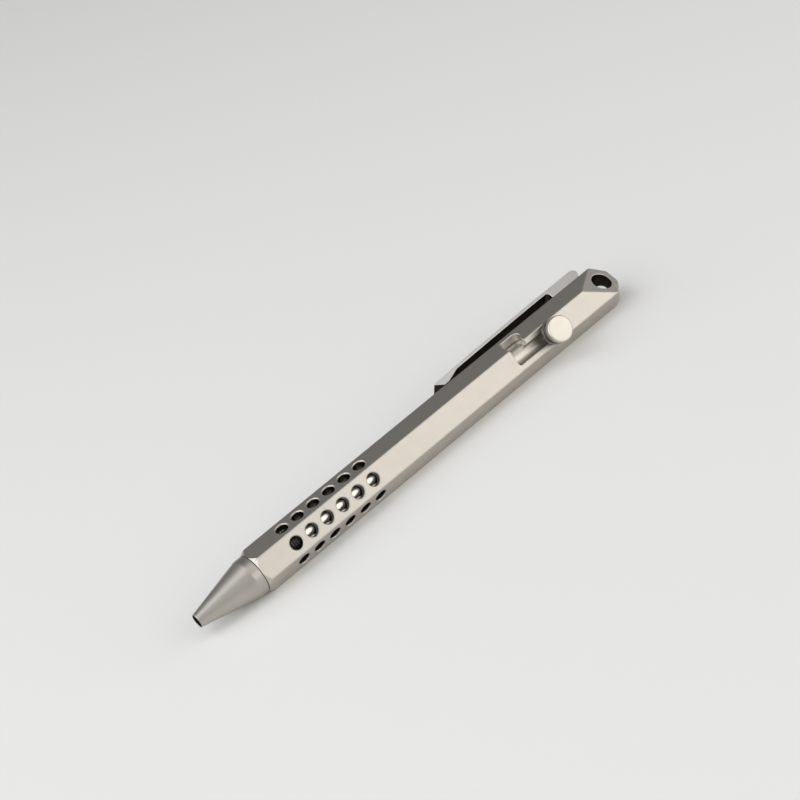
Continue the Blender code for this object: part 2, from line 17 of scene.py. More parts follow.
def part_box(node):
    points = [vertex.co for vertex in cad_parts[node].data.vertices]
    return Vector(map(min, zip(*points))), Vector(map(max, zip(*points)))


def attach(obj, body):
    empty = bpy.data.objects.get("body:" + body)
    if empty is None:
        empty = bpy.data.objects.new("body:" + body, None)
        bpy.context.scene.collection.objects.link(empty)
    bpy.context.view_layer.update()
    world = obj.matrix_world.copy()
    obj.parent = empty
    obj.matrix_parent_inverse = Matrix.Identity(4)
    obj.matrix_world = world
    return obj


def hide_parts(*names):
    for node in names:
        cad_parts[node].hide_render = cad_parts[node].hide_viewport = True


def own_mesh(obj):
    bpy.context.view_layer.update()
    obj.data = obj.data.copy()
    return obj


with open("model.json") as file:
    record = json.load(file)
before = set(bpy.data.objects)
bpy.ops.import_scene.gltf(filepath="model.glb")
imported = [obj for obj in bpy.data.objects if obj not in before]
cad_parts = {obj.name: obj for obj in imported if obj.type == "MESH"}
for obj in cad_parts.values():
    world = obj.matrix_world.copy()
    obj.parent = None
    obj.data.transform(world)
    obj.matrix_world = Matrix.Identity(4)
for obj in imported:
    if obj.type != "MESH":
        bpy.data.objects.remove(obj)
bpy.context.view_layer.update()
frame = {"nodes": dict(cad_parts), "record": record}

bl_info = {
    "name": "Bolt-action pen",
    "version": (1, 0, 0),
    "blender": (4, 5, 0),
    "location": "3D View > Sidebar > Pen",
    "description": "Models a hexagonal bolt-action pen piece by piece, with its metal finishes and a studio stage",
    "category": "Object",
}

# Places and colours that the CAD frame gives
BARREL_LOW, BARREL_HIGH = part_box("barrel")
NOSE_LOW, NOSE_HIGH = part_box("nose_cone")
CARRIER_LOW, CARRIER_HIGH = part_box("bolt_carrier")
CLIP_LOW, CLIP_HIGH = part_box("clip")
AXIS = (BARREL_LOW.z + BARREL_HIGH.z) / 2
COLOURS = {item["slot"]: item["base_color"] for item in frame["record"]["materials"]}

# The writing tip's X, and stations of the barrel's ends
TIP = NOSE_LOW.x
FRONT = BARREL_LOW.x - TIP
TAIL = BARREL_HIGH.x - TIP

# Turns of the flats and of the corner between the bolt's flat and the lock's
FLATS = 6
FLAT_TURN = math.tau / FLATS
CORNER_TURN = FLAT_TURN / 2
LOCK_FLAT = 0.0
BOLT_FLAT = FLAT_TURN
CLIP_FLAT = -FLAT_TURN

# Round tools are turned a little, so that none of their facets meets a corner of the hexagon
ENVELOPE_TURN = math.radians(1)
BORE_TURN = math.radians(1.3)

# Modelling: points closer than this are one, and tools run this far past what they cut
SAME_POINT = 0.000001
PAST = 0.001

# Edge breaks, from the finest to a plainly round one; a hair is also the least play between pieces
HAIR = 0.00005
KEEN = 0.00008
BROKEN = 0.0001
EASED = 0.00012
ROUNDED = 0.0003

# Clip screws: how far their heads lie below the block's face
SCREW_SINK = 0.0001

# Spring: points round the wire, and rings of them in a turn
WIRE_SIDES = 14
COIL_STEPS = 40

# Camera: what it looks at, its place from there, and the ways its sides point
FOCUS = Vector((-0.0034, 0, AXIS))
CAMERA_PLACE = FOCUS + Vector((-0.173233, -0.368615, 0.278093))
CAMERA_RIGHT = (0.72324, -0.59767, -0.34598)
CAMERA_UP = (0.58674, 0.26757, 0.76430)
CAMERA_BACK = (-0.36422, -0.75577, 0.54420)
CAMERA_SENSOR = 36
CAMERA_CLIP = (0.01, 50)

# Lamps: the way to them from the focus, distance, size and tint
LAMPS = {
    "front_lamp": ((0.57, -0.705, 0.423), 0.9, (1.1, 0.68), (1, 0.965, 0.91)),
    "top_lamp": ((-0.05, -0.1, 0.99), 0.8, (1.05, 0.5), (0.97, 0.985, 1)),
    "side_lamp": ((-0.8, 0.1, 0.6), 1.1, (2.0, 1.25), (0.97, 0.985, 1)),
}


def length(name, description, default):
    """A size that the panel shows in the scene's own unit."""
    return FloatProperty(name=name, description=description, default=default, min=0.0, precision=5, unit="LENGTH")


def angle(name, description, degrees):
    """An angle that the panel shows in degrees."""
    return FloatProperty(name=name, description=description, default=math.radians(degrees), subtype="ANGLE")


def colour(name, description, default):
    """A plain colour for a finish."""
    return FloatVectorProperty(
        name=name, description=description, default=default, size=3, min=0.0, max=1.0, subtype="COLOR"
    )


def share(name, description, default):
    """A number from 0 to 1."""
    return FloatProperty(name=name, description=description, default=default, min=0.0, max=1.0, subtype="FACTOR")


def strength(name, description, default):
    """How strong a light is."""
    return FloatProperty(name=name, description=description, default=default, min=0.0)


class PenBarrelSizes(bpy.types.PropertyGroup):
    """Sizes of the hexagonal barrel."""

    across_flats: length("Across flats", "Width between opposite flats", BARREL_HIGH.z - BARREL_LOW.z)
    edge_radius: length("Edge radius", "Rounding of the six long edges", 0.0005)
    front_ring: length("Front ring", "Radius of the round front face", 0.00538)
    front_angle: angle("Front angle", "Slope of the front chamfer to the axis", 30)
    tail_ring: length("Tail ring", "Radius of the round tail face", 0.0027)
    facet_start: length("Facet start", "Where the slanted tail facets begin, from the tail", 0.01173)
    facet_angle: angle("Facet angle", "Slope of the tail facets to the axis", 20.3)
    lanyard_hole: length("Lanyard hole", "Diameter of the lanyard hole", 0.0052)
    lanyard_place: length("Lanyard place", "Lanyard hole's middle, from the tail", 0.00405)
    lanyard_rounding: length("Lanyard rounding", "Rounding of the lanyard hole's rims", 0.00028)
    bore: length("Bore", "Diameter of the bore that the bolt's carrier slides in", 0.0069)
    mouth: length("Mouth", "Diameter of the bore that takes the nose", 0.0081)
    seal_recess: length("Seal recess", "Diameter of the recess for the seal ring", 0.0097)
    seal_depth: length("Seal depth", "Depth of the recess for the seal ring", 0.0009)
    hole: length("Grip hole", "Diameter of the grip holes", 0.0033)
    hole_rounding: length("Hole rounding", "Rounding of the grip holes' mouths", 0.00036)
    hole_pitch: length("Hole pitch", "Distance between grip holes in a row", 0.005)
    first_hole: length("First hole", "First grip hole's middle, from the barrel's front", 0.0111)
    holes: IntProperty(name="Holes in a row", description="Number of grip holes in each row", default=6, min=1)
    slot_start: length("Slot start", "Station of the slot's front end", 0.1034)
    slot_width: length("Slot width", "Width of the bolt's slot", 0.0033)
    slot_length: length("Slot length", "Length of the slot's straight run", 0.014)
    slot_corner: length("Slot corner", "Rounding of the slot's front corner", 0.0008)
    slot_rounding: length("Slot rounding", "Rounding of the slot's outer edge", 0.0002)
    crossing: length("Crossing", "Length of the stretch that leads round the barrel's corner", 0.005)
    lock_depth: length("Lock depth", "How far the lock reaches behind the crossing", 0.00106)
    lock_corner: length("Lock corner", "Rounding of the lock's corners", 0.0014)


class PenNoseSizes(bpy.types.PropertyGroup):
    """Sizes of the conical nose and its seal."""

    band_length: length("Band length", "Length of the straight band at the big end", 0.00235)
    band_radius: length("Band radius", "Radius of the straight band", 0.0053)
    band_easing: length("Band easing", "Radius that eases the cone into the band", 0.0012)
    tip_radius: length("Tip radius", "Outer radius at the tip", 0.00182)
    tip_bore: length("Tip bore", "Radius of the hole for the writing point", 0.0013)
    neck_bore: length("Neck bore", "Radius of the bore for the refill's neck", 0.0018)
    chamber: length("Chamber", "Radius of the spring chamber", 0.00245)
    refill_bore: length("Refill bore", "Radius of the bore for the refill", 0.0031)
    spigot: length("Spigot", "Outer radius of the thread", 0.00398)
    thread_pitch: length("Thread pitch", "Advance of the thread in a turn", 0.00075)
    thread_depth: length("Thread depth", "Depth of the thread", 0.00036)
    seal_wire: length("Seal wire", "Thickness of the seal ring", 0.0007)
    seal_radius: length("Seal radius", "Radius of the seal ring's middle", 0.00435)


class PenClipSizes(bpy.types.PropertyGroup):
    """Sizes of the pocket clip and its screws, heights counted from the pen's axis."""

    width: length("Width", "Width of the clip", 0.0048)
    seat: length("Seat", "Height of the block's underside", 0.00555)
    top: length("Top", "Height of the block's outer face", 0.00831)
    arm: length("Arm", "Thickness of the arm", 0.00082)
    arm_drop: length("Arm drop", "How far the arm leans towards the barrel", 0.0004)
    bend: share("Bend", "Where the arm begins to lean, as a share of its length", 0.8292)
    block: length("Block", "Length of the block", 0.01025)
    block_corner: share("Block corner", "Rounding of the block's rear corners as a share of its height", 0.489)
    neck: length("Neck", "Rounding where arm and block meet", 0.0009)
    taper: length("Taper", "Length of the tip's taper", 0.0089)
    tip_drop: length("Tip drop", "How far the tip lies below the outer face", 0.00069)
    tip_thickness: length("Tip thickness", "Thickness of the tip", 0.00025)
    edge: length("Edge", "Rounding of the long edges", 0.0001)
    mouth_edge: length("Mouth edge", "Rounding of the screw holes' mouths", 0.00009)
    screw_head: length("Screw head", "Diameter of the screw heads", 0.0034)
    screw_height: length("Screw height", "Height of the screw heads", 0.0013)
    screw_place: length("Screw place", "Rear screw's middle, from the clip's rear end", 0.0027)
    screw_pitch: length("Screw pitch", "Distance between the screws", 0.0044)
    socket: length("Socket", "Width across the socket's flats", 0.0013)


class PenBoltSizes(bpy.types.PropertyGroup):
    """Sizes of the bolt's carrier and knob."""

    carrier: length("Carrier", "Diameter of the carrier", 0.0067)
    stem_station: length("Stem station", "Station of the stem's axis", 0.11575)
    stem: length("Stem", "Diameter of the stem", 0.0031)
    knob: length("Knob", "Diameter of the knob", 0.0069)
    knob_base: length("Knob base", "Height of the knob's underside above the axis", 0.0065)
    knob_height: length("Knob height", "Height of the knob", 0.00455)
    flange: length("Flange", "Diameter of the knob's lower flange", 0.0068)
    flange_height: length("Flange height", "Height of the lower flange", 0.00125)
    groove: length("Groove", "Diameter in the knob's groove", 0.0058)
    groove_height: length("Groove height", "Height of the groove", 0.0017)
    bevel: length("Bevel", "Bevel round the knob's top", 0.00025)


class PenRefillSizes(bpy.types.PropertyGroup):
    """Sizes of the refill and its spring, stations counted from the tip."""

    start: length("Start", "Station of the ball, with the bolt back", 0.0045)
    end: length("End", "Station of the refill's rear end", 0.1026)
    radius: length("Radius", "Radius of the tube", 0.00295)
    wall: length("Wall", "Wall of the tube", 0.0003)
    neck: length("Neck", "Radius of the neck", 0.00165)
    shoulder: length("Shoulder", "Station where the shoulder begins", 0.0215)
    plug: length("Plug", "Length of the plug's head", 0.0056)
    point: length("Point", "Radius of the writing point", 0.001175)
    point_length: length("Point length", "Length of the writing point", 0.011)
    ball: length("Ball", "Diameter of the ball", 0.0008)
    wire: length("Spring wire", "Diameter of the spring's wire", 0.0004)
    coil: length("Coil", "Radius of the spring's coils", 0.00205)
    coils: IntProperty(name="Coils", description="Number of coils", default=9, min=3)


class PenFinishes(bpy.types.PropertyGroup):
    """Colours and textures of the pen's finishes."""

    titanium: colour("Titanium", "Bead-blasted body metal", COLOURS["titanium"])
    clip_titanium: colour("Clip metal", "Bead-blasted clip", COLOURS["clip_titanium"])
    steel: colour("Steel", "Screws, spring and ball", COLOURS["steel"])
    tube: colour("Tube", "Nickel plating of the refill tube", (0.70, 0.665, 0.60))
    nickel_silver: colour("Nickel silver", "Writing point", COLOURS["nickel_silver"])
    rubber: colour("Rubber", "Seal ring", COLOURS["black_rubber"])
    plastic: colour("Plastic", "Refill's end plug", COLOURS["black_plastic"])
    ink: colour("Ink", "Ink in the tube", COLOURS["ink"])
    blasted_roughness: share("Blasted roughness", "Roughness of the bead-blasted metal", 0.42)
    turned_roughness: share("Turned roughness", "Roughness of turned metal", 0.36)
    grain: length("Grain", "Size of the blasted grain", 0.00016)
    grain_depth: length("Grain depth", "Depth of the blasted grain", 0.000006)


class PenStage(bpy.types.PropertyGroup):
    """Floor, lamps and camera."""

    floor: colour("Floor", "Colour of the floor", (0.84, 0.835, 0.82))
    floor_radius: length("Floor radius", "Radius of the floor", 8.0)
    front_lamp: strength("Front lamp", "Radiance of the large lamp before the pen", 1.24)
    top_lamp: strength("Top lamp", "Radiance of the lamp above the pen", 1.05)
    side_lamp: strength("Side lamp", "Radiance of the lamp beyond the tip", 1.65)
    sky: strength("Sky", "Strength of the even light round the pen", 0.17)
    front_sky: strength("Front sky", "Strength of the light before the pen", 0.5)
    tail_sky: strength("Tail sky", "Strength of the light beyond the tail", 0.42)
    low_sky: strength("Low sky", "Strength of the light along the horizon", 0.5)
    lens: FloatProperty(name="Lens", description="Focal length on a 36 mm sensor, in millimetres", default=90.26, min=1)


# Modelling helpers


def select_only(piece):
    """Make a piece the only one selected, and active."""
    bpy.ops.object.select_all(action="DESELECT")
    piece.select_set(True)
    bpy.context.view_layer.objects.active = piece


def primitive(name, add, **sizes):
    """Add one of Blender's primitives with nothing else selected, and name it."""
    bpy.ops.object.select_all(action="DESELECT")
    add(**sizes)
    piece = bpy.context.object
    piece.name = piece.data.name = name
    return piece


def place(station, turn=0.0):
    """Matrix to a station on the pen's axis, with Z pointing out at a turn."""
    return Matrix.Translation((TIP + station, 0, AXIS)) @ Matrix.Rotation(turn, 4, "X")


ALONG = Matrix.Rotation(math.pi / 2, 4, "Y")


def set_down(piece, matrix):
    """Move a piece to its place, and its place into its mesh."""
    select_only(piece)
    piece.matrix_world = matrix
    bpy.ops.object.transform_apply(location=True, rotation=True, scale=True)


def eased(corners, steps=5):
    """Outline through corners of (x, y, easing), each rounded by an arc of that radius."""
    outline = []
    for index, (x, y, radius) in enumerate(corners):
        here = Vector((x, y))
        if not radius:
            outline.append((x, y))
            continue
        before = (Vector(corners[index - 1][:2]) - here).normalized()
        after = (Vector(corners[(index + 1) % len(corners)][:2]) - here).normalized()
        half = before.angle(after) / 2
        centre = here + (before + after).normalized() * (radius / math.sin(half))
        start = here + before * (radius / math.tan(half)) - centre
        end = here + after * (radius / math.tan(half)) - centre
        sweep = start.angle_signed(end)
        for step in range(steps + 1):
            point = centre + Matrix.Rotation(-sweep * step / steps, 2) @ start
            outline.append((point.x, point.y))
    return outline


def turned(name, outline, sides, hollow=False):
    """Turn an outline of (height, radius) points about Z, by extruding a circle from point to point."""
    start, radius = outline[0]
    piece = primitive(name, bpy.ops.mesh.primitive_circle_add, vertices=sides, radius=radius, location=(0, 0, start))
    bpy.ops.object.transform_apply(location=True, rotation=False, scale=False)
    bpy.ops.object.mode_set(mode="EDIT")
    bpy.ops.mesh.select_all(action="SELECT")
    if hollow:
        outline = outline + outline[:1]
    else:
        bpy.ops.mesh.edge_face_add()
        bpy.ops.mesh.select_all(action="SELECT")
    for (low, narrow), (high, wide) in zip(outline, outline[1:]):
        bpy.ops.mesh.extrude_region_move(TRANSFORM_OT_translate={"value": (0, 0, high - low)})
        bpy.ops.transform.resize(value=(wide / narrow, wide / narrow, 1), center_override=(0, 0, high))
    bpy.ops.mesh.select_all(action="SELECT")
    bpy.ops.mesh.remove_doubles(threshold=SAME_POINT)
    bpy.ops.mesh.normals_make_consistent(inside=False)
    bpy.ops.object.mode_set(mode="OBJECT")
    return piece


def plate(name, outline, thickness):
    """Plate with an outline of (x, y) points, extruded up from Z zero."""
    piece = primitive(name, bpy.ops.mesh.primitive_circle_add, vertices=len(outline), fill_type="NGON")
    for vertex, (x, y) in zip(piece.data.vertices, outline):
        vertex.co = (x, y, 0)
    bpy.ops.object.mode_set(mode="EDIT")
    bpy.ops.mesh.select_all(action="SELECT")
    bpy.ops.mesh.extrude_region_move(TRANSFORM_OT_translate={"value": (0, 0, thickness)})
    bpy.ops.mesh.select_all(action="SELECT")
    bpy.ops.mesh.normals_make_consistent(inside=False)
    bpy.ops.object.mode_set(mode="OBJECT")
    return piece


def dress(piece, *names):
    """Give a piece finishes by name, the first of them for all its faces."""
    for name in names:
        piece.data.materials.append(get_finish(name))


def carve(piece, tool, matrix, *names, operation="DIFFERENCE"):
    """Cut a piece with a tool at its place, whose finishes stay on the faces that it cuts, and put the tool away."""
    dress(tool, *names)
    set_down(tool, matrix)
    select_only(piece)
    cut = piece.modifiers.new("cut", "BOOLEAN")
    cut.operation = operation
    cut.solver = "EXACT"
    cut.object = tool
    cut.material_mode = "TRANSFER"
    bpy.ops.object.modifier_apply(modifier=cut.name)
    bpy.data.objects.remove(tool)


def repeat(piece, count, step):
    """Copy a piece in a row along X."""
    select_only(piece)
    row = piece.modifiers.new("row", "ARRAY")
    row.count = count
    row.use_relative_offset = False
    row.use_constant_offset = True
    row.constant_offset_displace = (step, 0, 0)
    bpy.ops.object.modifier_apply(modifier=row.name)


def clean(piece, operator):
    """Run an edit-mode operator that merges close points on a whole mesh."""
    select_only(piece)
    bpy.ops.object.mode_set(mode="EDIT")
    bpy.ops.mesh.select_all(action="SELECT")
    operator(threshold=SAME_POINT)
    bpy.ops.object.mode_set(mode="OBJECT")


def soften(piece, chosen, width, segments=3, wear=1.0):
    """Round the edges that chosen picks, and note how worn the new faces are."""
    select_only(piece)
    bpy.ops.object.mode_set(mode="EDIT")
    bpy.ops.mesh.select_mode(type="EDGE")
    bpy.ops.mesh.select_all(action="DESELECT")
    bm = bmesh.from_edit_mesh(piece.data)
    picked = [edge for edge in bm.edges if chosen(edge)]
    if not picked:
        raise RuntimeError(f"{piece.name} has no edge to soften there")
    for edge in picked:
        edge.select_set(True)
    bmesh.update_edit_mesh(piece.data)
    bpy.ops.mesh.bevel(offset=width, segments=segments, profile=0.5, clamp_overlap=False)
    bm = bmesh.from_edit_mesh(piece.data)
    worn = bm.faces.layers.float.get("wear") or bm.faces.layers.float.new("wear")
    for face in bm.faces:
        if face.select:
            face[worn] = wear
    bmesh.update_edit_mesh(piece.data)
    bpy.ops.object.mode_set(mode="OBJECT")


def sharp(edge, least=35):
    """Whether an edge juts out by at least that many degrees."""
    return edge.is_manifold and edge.is_convex and edge.calc_face_angle(0) > math.radians(least)


def finish_piece(piece, body, node, smooth=32):
    """Shade a piece, let it ride on its body and stand for its CAD node."""
    select_only(piece)
    bpy.ops.object.shade_smooth_by_angle(angle=math.radians(smooth))
    weighted = piece.modifiers.new("weighted", "WEIGHTED_NORMAL")
    weighted.keep_sharp = True
    bpy.ops.object.modifier_apply(modifier=weighted.name)
    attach(piece, body)
    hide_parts(node)


# Finishes


def feed(tree, value, socket):
    """Feed a socket from another node's output, or set it to a plain value."""
    if isinstance(value, bpy.types.NodeSocket):
        tree.links.new(value, socket)
    else:
        socket.default_value = value


def add_node(tree, kind, inputs=None, **settings):
    """Add a shader node with its settings, and feed the inputs that are given."""
    node = tree.nodes.new("ShaderNode" + kind)
    for setting, value in settings.items():
        setattr(node, setting, value)
    for label, value in (inputs or {}).items():
        feed(tree, value, node.inputs[label])
    return node


def calculate(tree, operation, *values):
    """Result of a Math node."""
    return add_node(tree, "Math", dict(enumerate(values)), operation=operation).outputs[0]


def rescale(tree, value, low, high, start=0.3, end=0.7, **settings):
    """Map a value to a range, by default a noise's, which lies mostly between 0.3 and 0.7."""
    inputs = {"Value": value, "From Min": start, "From Max": end, "To Min": low, "To Max": high}
    return add_node(tree, "MapRange", inputs, **settings).outputs["Result"]


def blend(tree, factor, first, second):
    """Mix of two colours, each a socket or a plain colour."""
    node = add_node(tree, "Mix", {"Factor": factor}, data_type="RGBA")
    for label, item in (("A", first), ("B", second)):
        socket = next(s for s in node.inputs if s.name == label and s.type == "RGBA")
        feed(tree, item if isinstance(item, bpy.types.NodeSocket) else (*item, 1), socket)
    return next(s for s in node.outputs if s.type == "RGBA")


def tone(base, amount):
    """A colour made lighter or darker."""
    return [min(1.0, part * amount) for part in base]


def node_group(name, scales, results):
    """Empty node group with a Vector, scales and results, and the sockets of its input and output nodes."""
    tree = bpy.data.node_groups.new(name, "ShaderNodeTree")
    tree.interface.new_socket(name="Vector", in_out="INPUT", socket_type="NodeSocketVector")
    for label, value in scales.items():
        socket = tree.interface.new_socket(name=label, in_out="INPUT", socket_type="NodeSocketFloat")
        socket.default_value = value
    for label in results:
        tree.interface.new_socket(name=label, in_out="OUTPUT", socket_type="NodeSocketFloat")
    return tree, tree.nodes.new("NodeGroupInput").outputs, tree.nodes.new("NodeGroupOutput").inputs


def blasted_skin():
    """Node group: grain and faint clouds of a bead-blasted surface."""
    name = "Blasted skin"
    if name in bpy.data.node_groups:
        return bpy.data.node_groups[name]
    tree, source, result = node_group(name, {"Grain Scale": 6000.0, "Cloud Scale": 350.0}, ["Grain", "Cloud"])
    for label, detail in (("Grain", 2.0), ("Cloud", 4.0)):
        inputs = {"Vector": source["Vector"], "Scale": source[f"{label} Scale"], "Detail": detail, "Roughness": 0.6}
        noise = add_node(tree, "TexNoise", inputs)
        tree.links.new(noise.outputs["Fac"], result[label])
    return tree


def tool_lines():
    """Node group: fine lines that a tool leaves, closest together along the vector's X."""
    name = "Tool lines"
    if name in bpy.data.node_groups:
        return bpy.data.node_groups[name]
    tree, source, result = node_group(name, {"Line Scale": 9000.0}, ["Lines"])
    stretch = (1, 0.01, 0.01)
    drawn = add_node(tree, "VectorMath", {0: source["Vector"], 1: stretch}, operation="MULTIPLY").outputs[0]
    noise = add_node(tree, "TexNoise", {"Vector": drawn, "Scale": source["Line Scale"], "Detail": 3.0})
    tree.links.new(noise.outputs["Fac"], result["Lines"])
    return tree


def finish_table():
    """What sets each finish apart, in the words of make_finish."""
    finishes = bpy.context.scene.pen_finishes
    titanium = finishes.titanium
    blasted = dict(roughness=finishes.blasted_roughness, grain=finishes.grain, depth=finishes.grain_depth)
    plated = dict(grain=0.0006, tones=(0.98, 1.02), lines=0.3, polish=0.05)
    turned_down = dict(plated, roughness=finishes.turned_roughness, grain=0.0003, depth=0.0000004, lines=0.2)
    drilled = dict(roughness=0.3, grain=0.0004, depth=0.0000008, tones=(0.95, 1.05), lines=0.4, polish=0.05)
    bored = dict(drilled, roughness=0.34, depth=0.000001, lines=1.0)
    drawn = dict(roughness=0.2, depth=0.000001, tones=(0.96, 1.04), polish=0.05)
    soft = dict(metallic=False, tones=(0.8, 1.25), cloud_scale=600)
    return {
        "blasted_titanium": dict(blasted, base=titanium),
        # Nose: a darker copy of the body's blasted titanium, painted shade
        "blasted_nose_painted_shade": dict(blasted, base=titanium, shade=0.86),
        # Clip: its own metal made a tenth lighter, painted light
        "blasted_clip_painted_light": dict(blasted, base=finishes.clip_titanium, shade=1.1),
        # Knob's head: titanium made lighter, painted light, and a little smoother
        "blasted_knob_painted_light": dict(blasted, base=titanium, shade=1.12, roughness=finishes.blasted_roughness - 0.04),
        # Carrier and screw holes: titanium a tenth lighter, painted light, with a turned texture
        "turned_titanium_painted_light": dict(turned_down, base=titanium, shade=1.1),
        # Grip holes' walls: titanium at 0.16 of its tone, painted shade of the hollows
        "drilled_titanium_painted_shade": dict(drilled, base=titanium, shade=0.16),
        # Knob's flange and groove: titanium at 0.45 of its tone, painted shade under the head
        "grooved_knob_painted_shade": dict(drilled, base=titanium, shade=0.45),
        # Bores, holes, the nose's inner and end faces and the clip's underside: titanium at 0.12 of its tone with weak
        # grazing reflection, painted shade
        "bored_titanium_painted_shade": dict(bored, base=titanium, shade=0.12, glint=0.3),
        # Spigot's thread: titanium at 0.17 of its tone, painted shade inside the joint
        "threaded_titanium_painted_shade": dict(bored, base=titanium, shade=0.17),
        "plated_steel": dict(plated, base=finishes.steel, roughness=0.27, depth=0.0000006),
        "nickel_plating": dict(plated, base=finishes.tube, roughness=0.22, depth=0.0000003),
        "machined_nickel_silver": dict(drawn, base=finishes.nickel_silver, grain=0.0003, lines=0.6),
        "spring_steel": dict(drawn, base=finishes.steel, grain=0.0002, lines=0.2),
        "carbide_ball": dict(
            base=finishes.steel, shade=0.7, roughness=0.1, grain=0.0001, depth=0.0000005, tones=(0.97, 1.03)
        ),
        "moulded_rubber": dict(soft, base=finishes.rubber, roughness=0.62, spread=0.06, grain=0.00012, depth=0.000004),
        "moulded_plastic": dict(soft, base=finishes.plastic, roughness=0.4, spread=0.05, grain=0.0002, depth=0.000003),
        "thick_ink": dict(soft, base=finishes.ink, roughness=0.15, grain=0.0006, depth=0.000004),
    }


def get_finish(name):
    """One of the pen's finishes, made the first time that it is needed."""
    if name not in bpy.data.materials:
        make_finish(name, **finish_table()[name])
    return bpy.data.materials[name]


def make_finish(
    name, base, roughness, grain, depth, shade=1.0, metallic=True, tones=(0.975, 1.025), cloud_scale=350,
    spread=0.04, lines=0.0, polish=0.1, glint=1.0
):
    """Material in a shade of its base colour, with grain of that size and depth and clouds of two tones.

    On metal, worn edges are paler, and smoother by polish. Where there are lines, a tool has left them.
    """
    least_wear, worn_shade = 0.4, 1.12
    base = tone(base, shade)
    made = bpy.data.materials.new(name)
    made.use_nodes = True
    tree = made.node_tree
    shader = tree.nodes["Principled BSDF"].inputs
    where = add_node(tree, "TexCoord").outputs["Object"]
    scales = {"Vector": where, "Grain Scale": 1 / grain, "Cloud Scale": cloud_scale}
    skin = add_node(tree, "Group", scales, node_tree=blasted_skin()).outputs
    look = blend(tree, rescale(tree, skin["Cloud"], 0, 1), tone(base, tones[0]), tone(base, tones[1]))
    rough = rescale(tree, skin["Grain"], roughness - spread, roughness + spread)
    height = skin["Grain"]
    if metallic:
        shader["Metallic"].default_value = 1.0
        shader["Specular Tint"].default_value = (glint, glint, glint, 1)
        worn = add_node(tree, "Attribute", attribute_name="wear").outputs["Fac"]
        edge = calculate(tree, "MULTIPLY", worn, rescale(tree, skin["Cloud"], least_wear, 1))
        look = blend(tree, edge, look, tone(base, worn_shade))
        rough = calculate(tree, "MULTIPLY_ADD", edge, -polish, rough)
    if lines:
        marks = add_node(tree, "Group", {"Vector": where}, node_tree=tool_lines()).outputs["Lines"]
        height = calculate(tree, "MULTIPLY_ADD", marks, lines, height)
    bump = add_node(tree, "Bump", {"Distance": depth, "Height": height}).outputs["Normal"]
    for label, value in (("Base Color", look), ("Roughness", rough), ("Normal", bump)):
        tree.links.new(value, shader[label])


# Pieces


